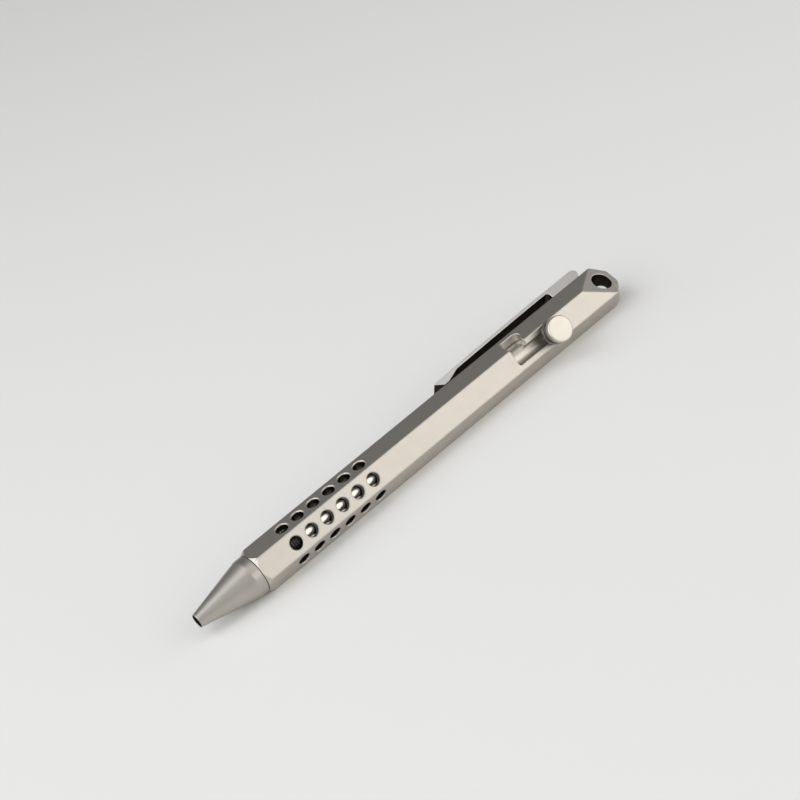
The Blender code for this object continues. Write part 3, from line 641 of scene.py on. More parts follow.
class PEN_OT_barrel(bpy.types.Operator):
    """Model the hexagonal barrel with its grip holes, slot, slanted tail and bores"""

    bl_idname = "pen.barrel"
    bl_label = "Barrel"

    def execute(self, context):
        sizes = context.scene.pen_barrel
        self.flat = sizes.across_flats / 2
        self.corner = self.flat / math.cos(CORNER_TURN)
        self.skin = self.corner + PAST
        barrel = self.bar(sizes)
        self.chamfer(barrel, sizes)
        self.bore(barrel, sizes)
        self.grip(barrel, sizes)
        self.slot(barrel, sizes)
        self.lanyard(barrel, sizes)
        self.tapping(barrel, context.scene.pen_clip)
        self.edges(barrel, sizes)
        finish_piece(barrel, "barrel", "barrel")
        return {"FINISHED"}

    def bar(self, sizes):
        """Hexagonal bar with slanted tail facets and rounded long edges."""
        bar = primitive(
            "hex_barrel", bpy.ops.mesh.primitive_cylinder_add, vertices=FLATS, radius=self.corner, depth=TAIL - FRONT
        )
        dress(bar, "blasted_titanium")
        set_down(bar, place((FRONT + TAIL) / 2) @ ALONG)
        size = sizes.facet_start * 2
        for facet in self.facets(sizes):
            tool = primitive("facet_tool", bpy.ops.mesh.primitive_cube_add, size=size)
            carve(bar, tool, facet @ Matrix.Translation((size / 2, 0, size / 2)))
        clean(bar, bpy.ops.mesh.remove_doubles)
        ends = (BARREL_LOW.x, BARREL_HIGH.x)

        def long(edge):
            """Whether an edge lies in neither end face."""
            return not any(all(abs(v.co.x - end) < SAME_POINT for v in edge.verts) for end in ends)

        soften(bar, long, sizes.edge_radius * math.tan(CORNER_TURN), segments=8, wear=0.3)
        return bar

    def facets(self, sizes):
        """Places of the two slanted tail facets, with Z out of the facet and X down it."""
        slope = Matrix.Translation((0, 0, self.corner)) @ Matrix.Rotation(sizes.facet_angle, 4, "Y")
        return [place(TAIL - sizes.facet_start, turn) @ slope for turn in (CORNER_TURN, CORNER_TURN + math.pi)]

    def chamfer(self, barrel, sizes):
        """Keep what lies in a turned envelope, which chamfers the hexagon at its front and tail."""
        slope = (self.skin - sizes.front_ring) / math.tan(sizes.front_angle)
        corners = [
            (FRONT, sizes.bore / 2, 0),
            (FRONT, sizes.front_ring, KEEN),
            (FRONT + slope, self.skin, 0),
            (TAIL - (self.skin - sizes.tail_ring), self.skin, 0),
            (TAIL, sizes.tail_ring, ROUNDED),
            (TAIL, sizes.tail_ring / 3, 0),
        ]
        envelope = turned("envelope", eased(corners), sides=180)
        carve(barrel, envelope, place(0, ENVELOPE_TURN) @ ALONG, operation="INTERSECT")

    def bore(self, barrel, sizes):
        """Stepped bore for the nose, the refill and the carrier, with a drill's point at its end."""
        nose_play, carrier_play = 0.0002, 0.0007
        point_length, point = 0.28 * sizes.bore, 0.0001
        recess = FRONT + sizes.seal_depth
        seat = NOSE_HIGH.x - TIP + nose_play
        end = CARRIER_HIGH.x - TIP + carrier_play
        outline = [
            (FRONT - PAST, sizes.seal_recess / 2),
            (recess, sizes.seal_recess / 2),
            (recess, sizes.mouth / 2),
            (seat, sizes.mouth / 2),
            (seat, sizes.bore / 2),
            (end, sizes.bore / 2),
            (end + point_length, point),
        ]
        # The bore's walls take the dark painted shade
        carve(barrel, turned("bore_tool", outline, sides=96), place(0, BORE_TURN) @ ALONG, "bored_titanium_painted_shade")

    def grip(self, barrel, sizes):
        """Rows of holes right through the grip. Their walls are painted dark as painted shade of the hollows, and their
        rounded mouths keep the barrel's own finish.
        """
        steps, step_degrees, flare = 5, 18, 3
        radius = sizes.hole / 2
        rounding = sizes.hole_rounding
        arc = []
        for step in range(steps):
            sweep = math.radians(step_degrees * step)
            arc.append((self.flat - rounding * (1 - math.sin(sweep)), radius + rounding * (1 - math.cos(sweep))))
        arc.append((self.flat + PAST, arc[-1][1] + PAST * flare))
        outline = [(-height, width) for height, width in reversed(arc)] + arc
        for turn in (LOCK_FLAT, BOLT_FLAT, BOLT_FLAT + FLAT_TURN):
            tool = turned("drill", outline, sides=64)
            # Walls get a dark painted shade; faces near the flat, the rounded mouths, keep the barrel's finish
            dress(tool, "drilled_titanium_painted_shade", "blasted_titanium")
            for face in tool.data.polygons:
                if abs(face.center.z) > self.flat - rounding:
                    face.material_index = 1
            repeat(tool, sizes.holes, sizes.hole_pitch)
            carve(barrel, tool, place(FRONT + sizes.first_hole, turn))

    def slot(self, barrel, sizes):
        """The bolt's run on its flat, the lock on the next flat, and the way round the corner between them."""
        half = sizes.slot_width / 2
        end = half - HAIR
        runs = (
            (BOLT_FLAT, sizes.slot_length, sizes.slot_corner),
            (LOCK_FLAT, sizes.crossing + sizes.lock_depth, sizes.lock_corner),
        )
        for turn, reach, rounding in runs:
            corners = [(0, -half, rounding), (reach, -half, end), (reach, half, end), (0, half, rounding)]
            tool = plate("run_tool", eased(corners, steps=12), self.skin)
            carve(barrel, tool, place(sizes.slot_start, turn), "blasted_titanium")
        side = (half - sizes.lock_corner) / 2
        out = Vector((0, 1))
        lock_side = Matrix.Rotation(-math.pi / 2, 2) @ out * side
        bolt_out = Matrix.Rotation(BOLT_FLAT, 2) @ out
        bolt_side = Matrix.Rotation(math.pi / 2, 2) @ bolt_out * side
        corner = Matrix.Rotation(CORNER_TURN, 2) @ out * (self.skin / math.cos(CORNER_TURN))
        fan = [lock_side, lock_side + out * self.skin, corner, bolt_side + bolt_out * self.skin, bolt_side]
        tool = plate("crossing_tool", [(-point.y, point.x) for point in fan], sizes.crossing)
        carve(barrel, tool, place(sizes.slot_start) @ ALONG, "blasted_titanium")

    def lanyard(self, barrel, sizes):
        """Hole for a lanyard, through both slanted facets."""
        radius = sizes.lanyard_hole / 2
        tool = turned("lanyard_tool", [(-self.skin, radius), (self.skin, radius)], sides=72)
        # The lanyard hole's wall takes the dark painted shade
        carve(barrel, tool, place(TAIL - sizes.lanyard_place, CORNER_TURN), "bored_titanium_painted_shade")

    def tapping(self, barrel, clip):
        """Two tapped holes under the clip's block."""
        floor, radius = 0.00215, 0.00105
        tool = turned("tapping_tool", [(floor, radius), (self.skin, radius)], sides=24)
        repeat(tool, 2, clip.screw_pitch)
        # The tapped holes' walls take the dark painted shade
        carve(barrel, tool, place(min(screw_stations(clip)), CLIP_FLAT), "bored_titanium_painted_shade")

    def edges(self, barrel, sizes):
        """Soften the outer edges of the slot and of the lanyard hole."""
        under_flat, beside_rim = 0.0001, 0.00002
        turns = [Matrix.Rotation(FLAT_TURN * index, 2) @ Vector((0, 1)) for index in range(FLATS)]
        start = TIP + sizes.slot_start - PAST
        end = TIP + sizes.slot_start + sizes.slot_length + PAST

        def reach(point):
            """How far out a point lies, square to the flat that is nearest."""
            across = Vector((point.y, point.z - AXIS))
            return max(across.dot(turn) for turn in turns)

        def on_slot(edge):
            """Whether a sharp edge lies round the slot, on the outside."""
            outer = all(start < v.co.x < end and reach(v.co) > self.flat - under_flat for v in edge.verts)
            return outer and sharp(edge)

        clean(barrel, bpy.ops.mesh.dissolve_degenerate)
        soften(barrel, on_slot, sizes.slot_rounding, segments=4)
        facets = [(facet.translation, facet.to_3x3().col[2]) for facet in self.facets(sizes)]
        hole = place(TAIL - sizes.lanyard_place, CORNER_TURN).inverted()

        def on_rim(edge):
            """Whether a sharp edge lies round the lanyard hole, on a slanted facet."""
            near = all((hole @ v.co).xy.length < sizes.lanyard_hole / 2 + beside_rim for v in edge.verts)
            flush = any(all(abs((v.co - at).dot(out)) < SAME_POINT * 2 for v in edge.verts) for at, out in facets)
            return near and flush and sharp(edge)

        soften(barrel, on_rim, sizes.lanyard_rounding, segments=4)


class PEN_OT_nose(bpy.types.Operator):
    """Model the conical nose with its bores and threaded spigot"""

    bl_idname = "pen.nose"
    bl_label = "Nose"

    def execute(self, context):
        sizes = context.scene.pen_nose
        joint_gap, seal_play, shoulder = 0.00012, 0.00015, 0.0011
        tip_chamfer, lead_in = 0.00006, 0.0004
        refill_step, chamber_step, neck_step = 0.0105, 0.0068, 0.0045
        before_thread, behind_thread = 0.0003, 0.0005
        face = FRONT - joint_gap
        groove = sizes.seal_radius - sizes.seal_wire / 2 - seal_play
        seat = FRONT + shoulder
        end = NOSE_HIGH.x - TIP
        corners = [
            (0, sizes.tip_bore, KEEN),
            (0, sizes.tip_radius - tip_chamfer, HAIR),
            (tip_chamfer * 2, sizes.tip_radius, KEEN),
            (FRONT - sizes.band_length, sizes.band_radius, sizes.band_easing),
            (face, sizes.band_radius, EASED),
            (face, groove, HAIR),
            (seat, groove, 0),
            (seat, sizes.spigot, BROKEN),
            (end - lead_in, sizes.spigot, 0),
            (end, sizes.spigot - lead_in, 0),
            (end, sizes.refill_bore, BROKEN),
            (refill_step, sizes.refill_bore, 0),
            (refill_step, sizes.chamber, 0),
            (chamber_step, sizes.chamber, 0),
            (chamber_step, sizes.neck_bore, 0),
            (neck_step, sizes.neck_bore, 0),
            (neck_step, sizes.tip_bore, 0),
        ]
        nose = turned("cone_nose", eased(corners), sides=128, hollow=True)
        self.thread(nose, sizes, seat + before_thread, end - behind_thread)
        set_down(nose, place(0) @ ALONG)
        self.share_out(nose, sizes, TIP + seat)
        finish_piece(nose, "nose", "nose_cone")
        return {"FINISHED"}

    def thread(self, nose, sizes, start, end):
        """Cut a right-hand thread round the spigot, by fine rings whose radius follows the helix."""
        rings_in_turn = 10
        # Depth falls off from over the full one, at the middle of a turn, by the flank's slope
        root, flank = 1.25, 3.2
        select_only(nose)
        bpy.ops.object.mode_set(mode="EDIT")
        bpy.ops.mesh.select_mode(type="EDGE")
        bpy.ops.mesh.select_all(action="DESELECT")
        bm = bmesh.from_edit_mesh(nose.data)

        def on_spigot(vertex):
            """Whether a point lies on the spigot's outside."""
            return abs(vertex.co.xy.length - sizes.spigot) < SAME_POINT and vertex.co.z > FRONT

        for edge in bm.edges:
            long = abs(edge.verts[0].co.z - edge.verts[1].co.z) > PAST
            edge.select_set(long and all(on_spigot(vertex) for vertex in edge.verts))
        bmesh.update_edit_mesh(nose.data)
        rings = int((end - start) / sizes.thread_pitch * rings_in_turn)
        bpy.ops.mesh.subdivide_edgering(number_cuts=rings, interpolation="LINEAR")
        bm = bmesh.from_edit_mesh(nose.data)
        for vertex in bm.verts:
            height = vertex.co.z
            if on_spigot(vertex) and start < height < end:
                turn = math.atan2(vertex.co.x, -vertex.co.y) / math.tau
                phase = (height / sizes.thread_pitch + turn) % 1
                depth = min(1, max(0, root - flank * abs(phase - 0.5)))
                run_in = min(1, (height - start) / sizes.thread_pitch, (end - height) / sizes.thread_pitch)
                scale = 1 - depth * run_in * sizes.thread_depth / sizes.spigot
                vertex.co.x *= scale
                vertex.co.y *= scale
        bmesh.update_edit_mesh(nose.data)
        bpy.ops.object.mode_set(mode="OBJECT")

    def share_out(self, nose, sizes, spigot_start):
        """Paint the bores, the end faces and the thread dark as painted shade, on a darker copy of the body's finish.
        """
        bored_index, threaded_index = 1, 2
        beside_bore, facing_back = 0.00003, 0.9
        dress(nose, "blasted_nose_painted_shade", "bored_titanium_painted_shade", "threaded_titanium_painted_shade")
        # Thread, bores and end faces take dark painted shade; the rest keeps the darker nose copy
        for face in nose.data.polygons:
            spoke = Vector((0, face.center.y, face.center.z - AXIS))
            bored = spoke.length < sizes.tip_bore + beside_bore or face.normal.dot(spoke) < -SAME_POINT
            if face.center.x > spigot_start and not bored:
                face.material_index = threaded_index
            elif bored or not TIP < face.center.x < BARREL_LOW.x or face.normal.x > facing_back:
                face.material_index = bored_index


class PEN_OT_seal(bpy.types.Operator):
    """Model the rubber seal ring between nose and barrel"""

    bl_idname = "pen.seal"
    bl_label = "Seal ring"

    def execute(self, context):
        sizes = context.scene.pen_nose
        wire = sizes.seal_wire / 2
        low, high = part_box("nose_o_ring")
        middle = (low.x + high.x) / 2
        outer = sizes.seal_radius + wire - SAME_POINT
        parting = 0.00002
        ring = primitive(
            "seal_ring", bpy.ops.mesh.primitive_torus_add,
            major_segments=96, minor_segments=20, major_radius=sizes.seal_radius, minor_radius=wire
        )
        dress(ring, "moulded_rubber")
        set_down(ring, Matrix.Translation((middle, 0, AXIS)) @ ALONG)

        def on_parting(edge):
            """Whether an edge lies round the outside, where the ring's mould parts."""
            return all(
                math.hypot(v.co.y, v.co.z - AXIS) > outer and abs(v.co.x - middle) < SAME_POINT for v in edge.verts
            )

        soften(ring, on_parting, parting, segments=2, wear=0)
        finish_piece(ring, "nose_seal", "nose_o_ring", smooth=60)
        return {"FINISHED"}


def screw_stations(sizes):
    """Stations of the rear and the front clip screw."""
    rear = CLIP_HIGH.x - TIP - sizes.screw_place
    return rear, rear - sizes.screw_pitch


class PEN_OT_clip(bpy.types.Operator):
    """Model the pocket clip with its block, arm, hooked tip and screw holes"""

    bl_idname = "pen.clip"
    bl_label = "Pocket clip"

    def execute(self, context):
        sizes = context.scene.pen_clip
        arm = sizes.top - sizes.arm
        tip = sizes.top - sizes.tip_drop
        length_of_clip = CLIP_HIGH.x - CLIP_LOW.x
        block = length_of_clip - sizes.block
        bend = block * sizes.bend
        corner = (sizes.top - sizes.seat) * sizes.block_corner
        rise, rise_easing = 0.0074, 0.003
        bump_rear, bump_front, bump_easing = 0.0034, 0.00186, 0.0006
        bump = sizes.seat + 0.0002
        taper_easing, bend_easing = 0.03, 0.05
        corners = [
            (0, tip - sizes.tip_thickness, 0),
            (0, tip, 0),
            (sizes.taper, sizes.top - sizes.arm_drop, taper_easing),
            (bend, sizes.top, bend_easing),
            (length_of_clip, sizes.top, corner),
            (length_of_clip, sizes.seat, corner),
            (block, sizes.seat, ROUNDED),
            (block, arm, sizes.neck),
            (bend, arm, bend_easing),
            (rise, arm - sizes.arm_drop, rise_easing),
            (bump_rear, bump, bump_easing),
            (bump_front, bump, bump_easing),
        ]
        clip = plate("pocket_clip", eased(corners, steps=10), sizes.width)
        # A lighter copy of the clip's metal, painted light
        dress(clip, "blasted_clip_painted_light")
        lean = Matrix.Rotation(math.pi / 2, 4, "X") @ Matrix.Translation((0, 0, -sizes.width / 2))
        set_down(clip, place(CLIP_LOW.x - TIP, CLIP_FLAT) @ lean)
        hole = self.counterbores(clip, sizes)
        self.edges(clip, sizes, hole)
        self.share_out(clip)
        finish_piece(clip, "barrel", "clip")
        return {"FINISHED"}

    def counterbores(self, clip, sizes):
        """Cut the screws' stepped holes, and give the radius of their wide part."""
        below_block, shank, play = 0.004, 0.0011, 0.0001
        hole = sizes.screw_head / 2 + play
        floor = sizes.top - SCREW_SINK - sizes.screw_height - HAIR
        outline = [(below_block, shank), (floor, shank), (floor, hole), (sizes.top + PAST, hole)]
        tool = turned("counterbore_tool", outline, sides=48)
        repeat(tool, 2, sizes.screw_pitch)
        carve(clip, tool, place(min(screw_stations(sizes)), CLIP_FLAT), "turned_titanium_painted_light")
        return hole

    def edges(self, clip, sizes, hole):
        """Soften the clip's long edges and the mouths of its screw holes."""
        side = place(0, CLIP_FLAT).inverted()
        rim = sizes.width / 2 - SAME_POINT
        near_top = sizes.top - 0.0005

        def on_side(edge):
            """Whether a sharp edge lies in one of the clip's sides."""
            return sharp(edge, least=60) and all(abs((side @ v.co).y) > rim for v in edge.verts)

        def on_mouth(edge):
            """Whether a sharp edge lies round a screw hole, on top."""
            return sharp(edge) and all(
                (side @ v.co).z > near_top and abs((side @ v.co).y) < hole + SAME_POINT for v in edge.verts
            )

        soften(clip, on_side, sizes.edge)
        soften(clip, on_mouth, sizes.mouth_edge)

    def share_out(self, clip):
        """Paint the faces that look at the barrel or towards the tip dark as painted shade, but not the clip's sides.
        """
        inwards, forwards, sideways = -0.15, -0.5, 0.3
        dress(clip, "bored_titanium_painted_shade")
        inner_index = len(clip.data.materials) - 1
        facing = place(0, CLIP_FLAT).inverted().to_3x3()
        for face in clip.data.polygons:
            way = facing @ face.normal
            inner = way.z < inwards or way.x < forwards
            if inner and abs(way.y) < sideways and face.material_index == 0:
                face.material_index = inner_index


class PEN_OT_clip_screws(bpy.types.Operator):
    """Model the two socket screws that hold the clip"""

    bl_idname = "pen.clip_screws"
    bl_label = "Clip screws"

    def execute(self, context):
        sizes = context.scene.pen_clip
        foot, shank, chamfer = 0.00235, 0.001, 0.0002
        foot_ring, top_ring = 0.0006, 0.0009
        top = sizes.top - SCREW_SINK
        under = top - sizes.screw_height
        head = sizes.screw_head / 2
        corners = [
            (foot, foot_ring, 0),
            (foot, shank - chamfer, 0),
            (foot + chamfer, shank, 0),
            (under, shank, 0),
            (under, head, KEEN),
            (top, head, ROUNDED),
            (top, top_ring, 0),
        ]
        front = turned("socket_screw_front", eased(corners), sides=72)
        dress(front, "plated_steel")
        socket = sizes.socket / 2 / math.cos(CORNER_TURN)
        floor, wall_end, point = top - 0.0009, top - 0.0007, socket * 0.2
        tool = turned("socket_tool", [(floor, point), (wall_end, socket), (top + PAST, socket)], sides=FLATS)
        carve(front, tool, Matrix(), "plated_steel")
        mouth = socket * 1.1

        def on_mouth(edge):
            """Whether a sharp edge lies round the socket, on top of the head."""
            return sharp(edge) and all(abs(v.co.z - top) < SAME_POINT and v.co.xy.length < mouth for v in edge.verts)

        soften(front, on_mouth, HAIR, segments=2)
        select_only(front)
        bpy.ops.object.duplicate(linked=False)
        rear = context.object
        rear.name = rear.data.name = "socket_screw_rear"
        nodes = ("clip_screw_rear", "clip_screw_front")
        for screw, station, node in zip((rear, front), screw_stations(sizes), nodes):
            set_down(screw, place(station, CLIP_FLAT))
            finish_piece(screw, "barrel", node)
        return {"FINISHED"}


class PEN_OT_carrier(bpy.types.Operator):
    """Model the carrier that slides in the bore and shows through the slot"""

    bl_idname = "pen.carrier"
    bl_label = "Bolt carrier"

    def execute(self, context):
        sizes = context.scene.pen_bolt
        radius = sizes.carrier / 2
        front, rear = CARRIER_LOW.x - TIP, CARRIER_HIGH.x - TIP
        end_ring, chamfer = 0.0012, 0.0004
        corners = [
            (front, end_ring, 0),
            (front, radius - chamfer, BROKEN),
            (front + chamfer, radius, BROKEN),
            (rear - chamfer, radius, BROKEN),
            (rear, radius - chamfer, BROKEN),
            (rear, end_ring, 0),
        ]
        carrier = turned("sliding_carrier", eased(corners), sides=96)
        # The carrier's lighter copy of titanium is painted light
        dress(carrier, "turned_titanium_painted_light")
        set_down(carrier, place(0) @ ALONG)
        floor, step, shank = -0.00145, 0.00235, 0.00125
        stem = sizes.stem / 2 + HAIR
        outline = [(floor, shank), (step, shank), (step, stem), (radius + PAST, stem)]
        tool = turned("shank_tool", outline, sides=48)
        carve(carrier, tool, place(sizes.stem_station, BOLT_FLAT), "turned_titanium_painted_light")
        finish_piece(carrier, "bolt", "bolt_carrier")
        return {"FINISHED"}


class PEN_OT_knob(bpy.types.Operator):
    """Model the bolt's knob with its flange, groove and stem"""

    bl_idname = "pen.knob"
    bl_label = "Bolt knob"

    def execute(self, context):
        sizes = context.scene.pen_bolt
        base = sizes.knob_base
        groove_start = base + sizes.flange_height
        groove_end = groove_start + sizes.groove_height
        top = base + sizes.knob_height
        foot, step, shank, chamfer = -0.00125, 0.0024, 0.0012, 0.0001
        stem_root, under_head, top_ring = 0.00015, 0.00014, 0.0015
        corners = [
            (foot, shank / 2, 0),
            (foot, shank - chamfer, 0),
            (foot + chamfer, shank, 0),
            (step, shank, 0),
            (step, sizes.stem / 2, BROKEN),
            (base, sizes.stem / 2, stem_root),
            (base, sizes.flange / 2, EASED),
            (groove_start, sizes.flange / 2, EASED),
            (groove_start, sizes.groove / 2, KEEN),
            (groove_end, sizes.groove / 2, KEEN),
            (groove_end, sizes.knob / 2, under_head),
            (top - sizes.bevel, sizes.knob / 2, ROUNDED),
            (top, sizes.knob / 2 - sizes.bevel, ROUNDED),
            (top, top_ring, 0),
        ]
        knob = turned("round_knob", eased(corners), sides=96)
        dress(knob, "blasted_knob_painted_light", "grooved_knob_painted_shade")
        # Faces up to the groove's top, the flange and groove, take the darker painted shade
        for face in knob.data.polygons:
            if face.center.z < groove_end + SAME_POINT:
                face.material_index = 1
        set_down(knob, place(sizes.stem_station, BOLT_FLAT))
        finish_piece(knob, "bolt", "bolt_knob")
        return {"FINISHED"}


class PEN_OT_refill(bpy.types.Operator):
    """Model the refill's tube with its neck and shoulder"""

    bl_idname = "pen.refill"
    bl_label = "Refill tube"

    def execute(self, context):
        sizes = context.scene.pen_refill
        neck_start = sizes.start + sizes.point_length + HAIR
        rear = sizes.end - sizes.plug - HAIR
        inside = sizes.radius - sizes.wall
        socket, set_back = 0.00115, 0.0003
        shoulder_end = sizes.shoulder + 0.0015
        neck_easing, shoulder_start_easing, shoulder_easing = 0.0002, 0.0004, 0.0009
        crimp = ((0.0012, 0), (0.0010, 0.00006), (0.0008, 0))
        corners = [
            (neck_start, socket, 0),
            (neck_start, sizes.neck, neck_easing),
            (sizes.shoulder, sizes.neck, shoulder_start_easing),
            (shoulder_end, sizes.radius, shoulder_easing),
            *((rear - ahead, sizes.radius - depth, 0) for ahead, depth in crimp),
            (rear, sizes.radius, BROKEN),
            (rear, inside, 0),
            (shoulder_end + set_back, inside, 0),
            (sizes.shoulder + set_back, socket, 0),
        ]
        tube = turned("refill_body", eased(corners), sides=96, hollow=True)
        dress(tube, "nickel_plating")
        set_down(tube, place(0) @ ALONG)
        finish_piece(tube, "refill", "refill_tube")
        return {"FINISHED"}


class PEN_OT_writing_point(bpy.types.Operator):
    """Model the stepped writing point"""

    bl_idname = "pen.writing_point"
    bl_label = "Writing point"

    def execute(self, context):
        sizes = context.scene.pen_refill
        start, radius = sizes.start, sizes.point
        end = start + sizes.point_length
        ball = sizes.ball / 2 + HAIR
        ball_seat = start + sizes.ball + HAIR
        lip, lip_wall, lip_easing = start + 0.0003, 0.00008, 0.00003
        shank, shank_end, channel = 0.0011, end + 0.003, 0.00025
        # Behind the ball: distance from it, depth below the full radius, and easing
        steps = ((0.0016, 0.00045, 0.0003), (0.0029, 0.0003, 0.0002), (0.0031, 0.00008, 0.00005), (0.0045, 0, 0.002))
        corners = [
            (lip, ball, 0),
            (lip, ball + lip_wall, lip_easing),
            *((start + behind, radius - depth, easing) for behind, depth, easing in steps),
            (end, radius, BROKEN),
            (end, shank, 0),
            (shank_end, shank, BROKEN),
            (shank_end, channel, 0),
            (ball_seat, channel, 0),
            (ball_seat, ball, 0),
        ]
        point = turned("writing_point", eased(corners), sides=64, hollow=True)
        dress(point, "machined_nickel_silver")
        set_down(point, place(0) @ ALONG)
        finish_piece(point, "refill", "refill_point")
        return {"FINISHED"}


class PEN_OT_spring(bpy.types.Operator):
    """Model the return spring round the refill's neck"""

    bl_idname = "pen.spring"
    bl_label = "Return spring"

    def execute(self, context):
        sizes = context.scene.pen_refill
        low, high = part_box("return_spring")
        run = high.x - low.x
        spring = primitive(
            "coil_spring", bpy.ops.mesh.primitive_circle_add, vertices=WIRE_SIDES, radius=sizes.wire / 2
        )
        dress(spring, "spring_steel")
        set_down(spring, Matrix.Translation((sizes.coil, 0, 0)) @ Matrix.Rotation(math.pi / 2, 4, "X"))
        coil = spring.modifiers.new("coil", "SCREW")
        coil.axis = "Z"
        coil.iterations = sizes.coils
        coil.screw_offset = run / sizes.coils
        coil.steps = coil.render_steps = COIL_STEPS
        select_only(spring)
        bpy.ops.object.modifier_apply(modifier=coil.name)
        self.close_ends(spring, sizes, run)
        set_down(spring, Matrix.Translation((low.x, 0, AXIS)) @ ALONG)
        finish_piece(spring, "refill", "return_spring", smooth=50)
        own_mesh(spring)
        return {"FINISHED"}

    def close_ends(self, spring, sizes, run):
        """Wind the last coils tight against each other, and cap the wire's ends."""
        turns = sizes.coils
        pitch = (run - 3 * sizes.wire) / (turns - 2)
        vertices = spring.data.vertices
        for index, vertex in enumerate(vertices):
            turn = index // WIRE_SIDES / COIL_STEPS
            # A closed turn climbs by the wire's thickness
            if turn < 1:
                height = sizes.wire * (0.5 + turn)
            elif turn > turns - 1:
                height = run - sizes.wire * (0.5 + turns - turn)
            else:
                height = sizes.wire * 1.5 + pitch * (turn - 1)
            vertex.co.z += height - turn * run / turns
        bpy.ops.object.mode_set(mode="EDIT")
        bpy.ops.mesh.select_mode(type="VERT")
        for first in (0, len(vertices) - WIRE_SIDES):
            bpy.ops.mesh.select_all(action="DESELECT")
            bm = bmesh.from_edit_mesh(spring.data)
            bm.verts.ensure_lookup_table()
            for vertex in bm.verts[first:first + WIRE_SIDES]:
                vertex.select_set(True)
            bmesh.update_edit_mesh(spring.data)
            bpy.ops.mesh.edge_face_add()
        bpy.ops.mesh.select_all(action="SELECT")
        bpy.ops.mesh.normals_make_consistent(inside=False)
        bpy.ops.object.mode_set(mode="OBJECT")


class PEN_OT_inner_finishes(bpy.types.Operator):
    """Give the plug, ink and ball that stay from the CAD their own finishes"""

    bl_idname = "pen.inner_finishes"
    bl_label = "Inner finishes"

    def execute(self, context):
        inner = {
            "refill_end_plug": "moulded_plastic",
            "refill_ink": "thick_ink",
            "refill_ball": "carbide_ball",
        }
        for node, name in inner.items():
            frame["nodes"][node].data.materials.clear()
            dress(frame["nodes"][node], name)
        return {"FINISHED"}


class PEN_OT_stage(bpy.types.Operator):
    """Set up the pale floor, the soft lamps and the camera"""

    bl_idname = "pen.stage"
    bl_label = "Stage"

    def execute(self, context):
        stage = context.scene.pen_stage
        floor = primitive(
            "studio_floor", bpy.ops.mesh.primitive_circle_add,
            vertices=96, radius=stage.floor_radius, fill_type="NGON"
        )
        floor.data.materials.append(self.paper(stage.floor))
        for name, (way, distance, size, tint) in LAMPS.items():
            self.lamp(name, Vector(way).normalized(), distance, size, getattr(stage, name), tint)
        self.sky(stage)
        self.camera(stage)
        context.scene.view_settings.view_transform = "Standard"
        return {"FINISHED"}

    def paper(self, base):
        """Plain matt paper."""
        made = bpy.data.materials.new("pale_paper")
        made.use_nodes = True
        shader = made.node_tree.nodes["Principled BSDF"].inputs
        for label, value in (("Base Color", (*base, 1)), ("Roughness", 0.9), ("Specular IOR Level", 0.2)):
            shader[label].default_value = value
        return made

    def lamp(self, name, way, distance, size, radiance, tint):
        """Rectangular soft lamp that looks at the pen."""
        data = bpy.data.lights.new(name, "AREA")
        data.shape = "RECTANGLE"
        data.size, data.size_y = size
        data.energy = radiance * math.pi * size[0] * size[1]
        data.color = tint
        lamp = bpy.data.objects.new(name, data)
        bpy.context.scene.collection.objects.link(lamp)
        lamp.location = FOCUS + way * distance
        lamp.rotation_euler = way.to_track_quat("Z", "Y").to_euler()
        lamp.visible_camera = False

    def sky(self, stage):
        """Even grey light, paler beyond the tail, before the pen and near the horizon."""
        world = bpy.data.worlds.new("studio")
        bpy.context.scene.world = world
        world.use_nodes = True
        tree = world.node_tree
        view = add_node(tree, "TexCoord").outputs["Generated"]
        parts = add_node(tree, "SeparateXYZ", {0: view}).outputs
        # Part of the view's direction, the light where it starts and ends, and where those are
        fades = (
            ("X", stage.sky, stage.tail_sky, 0.45, 0.9),
            ("Z", stage.low_sky, 0, 0.03, 0.13),
            ("Y", stage.front_sky, 0, -0.75, -0.25),
        )
        tail, low, front = (
            rescale(tree, parts[part], first, last, start, end, interpolation_type="SMOOTHSTEP")
            for part, first, last, start, end in fades
        )
        palest = calculate(tree, "MAXIMUM", calculate(tree, "MAXIMUM", tail, low), front)
        tree.links.new(palest, tree.nodes["Background"].inputs["Color"])

    def camera(self, stage):
        """Camera at the photograph's viewing angle."""
        data = bpy.data.cameras.new("camera")
        data.lens = stage.lens
        data.sensor_width = CAMERA_SENSOR
        data.clip_start, data.clip_end = CAMERA_CLIP
        camera = bpy.data.objects.new("camera", data)
        bpy.context.scene.collection.objects.link(camera)
        camera.matrix_world = Matrix((CAMERA_RIGHT, CAMERA_UP, CAMERA_BACK)).transposed().to_4x4()
        camera.location = CAMERA_PLACE
        bpy.context.scene.camera = camera


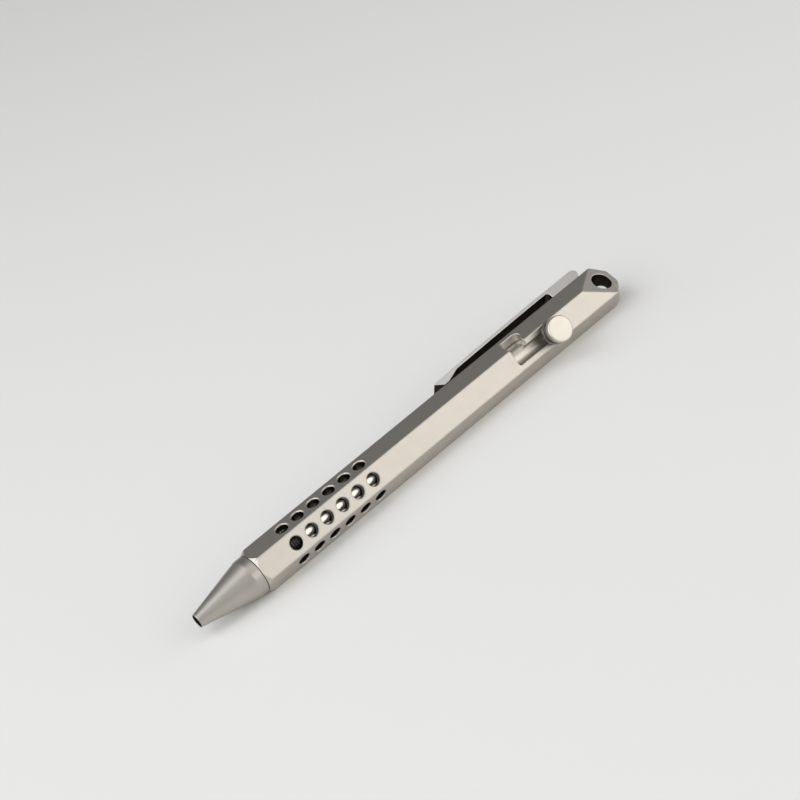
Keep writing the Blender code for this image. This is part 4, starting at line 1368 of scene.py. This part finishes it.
class PEN_PT_panel(bpy.types.Panel):
    """Lists the pen's sizes, finishes and pieces"""

    bl_idname = "PEN_PT_panel"
    bl_label = "Bolt-action pen"
    bl_space_type = "VIEW_3D"
    bl_region_type = "UI"
    bl_category = "Pen"

    def draw(self, context):
        column = self.layout.column(align=True)
        for piece in PIECES:
            column.operator(piece.bl_idname)
        for name, group in GROUPS.items():
            box = self.layout.box()
            box.label(text=group.__doc__)
            for item in group.__annotations__:
                box.prop(getattr(context.scene, name), item)


GROUPS = {
    "pen_barrel": PenBarrelSizes,
    "pen_nose": PenNoseSizes,
    "pen_clip": PenClipSizes,
    "pen_bolt": PenBoltSizes,
    "pen_refill": PenRefillSizes,
    "pen_finishes": PenFinishes,
    "pen_stage": PenStage,
}
PIECES = (
    PEN_OT_barrel,
    PEN_OT_nose,
    PEN_OT_seal,
    PEN_OT_clip,
    PEN_OT_clip_screws,
    PEN_OT_carrier,
    PEN_OT_knob,
    PEN_OT_refill,
    PEN_OT_writing_point,
    PEN_OT_spring,
    PEN_OT_inner_finishes,
    PEN_OT_stage,
)


def register():
    """Register the classes, and hang the sizes and finishes on the scene."""
    for group in GROUPS.values():
        bpy.utils.register_class(group)
    for piece in PIECES:
        bpy.utils.register_class(piece)
    bpy.utils.register_class(PEN_PT_panel)
    for name, group in GROUPS.items():
        setattr(bpy.types.Scene, name, PointerProperty(type=group))


def unregister():
    """Undo what register does."""
    for name in GROUPS:
        delattr(bpy.types.Scene, name)
    bpy.utils.unregister_class(PEN_PT_panel)
    for piece in reversed(PIECES):
        bpy.utils.unregister_class(piece)
    for group in reversed(GROUPS.values()):
        bpy.utils.unregister_class(group)


def main():
    """Make the pen and its stage."""
    register()
    bpy.ops.pen.barrel()
    bpy.ops.pen.nose()
    bpy.ops.pen.seal()
    bpy.ops.pen.clip()
    bpy.ops.pen.clip_screws()
    bpy.ops.pen.carrier()
    bpy.ops.pen.knob()
    bpy.ops.pen.refill()
    bpy.ops.pen.writing_point()
    bpy.ops.pen.spring()
    bpy.ops.pen.inner_finishes()
    bpy.ops.pen.stage()


if __name__ == "__main__":
    main()
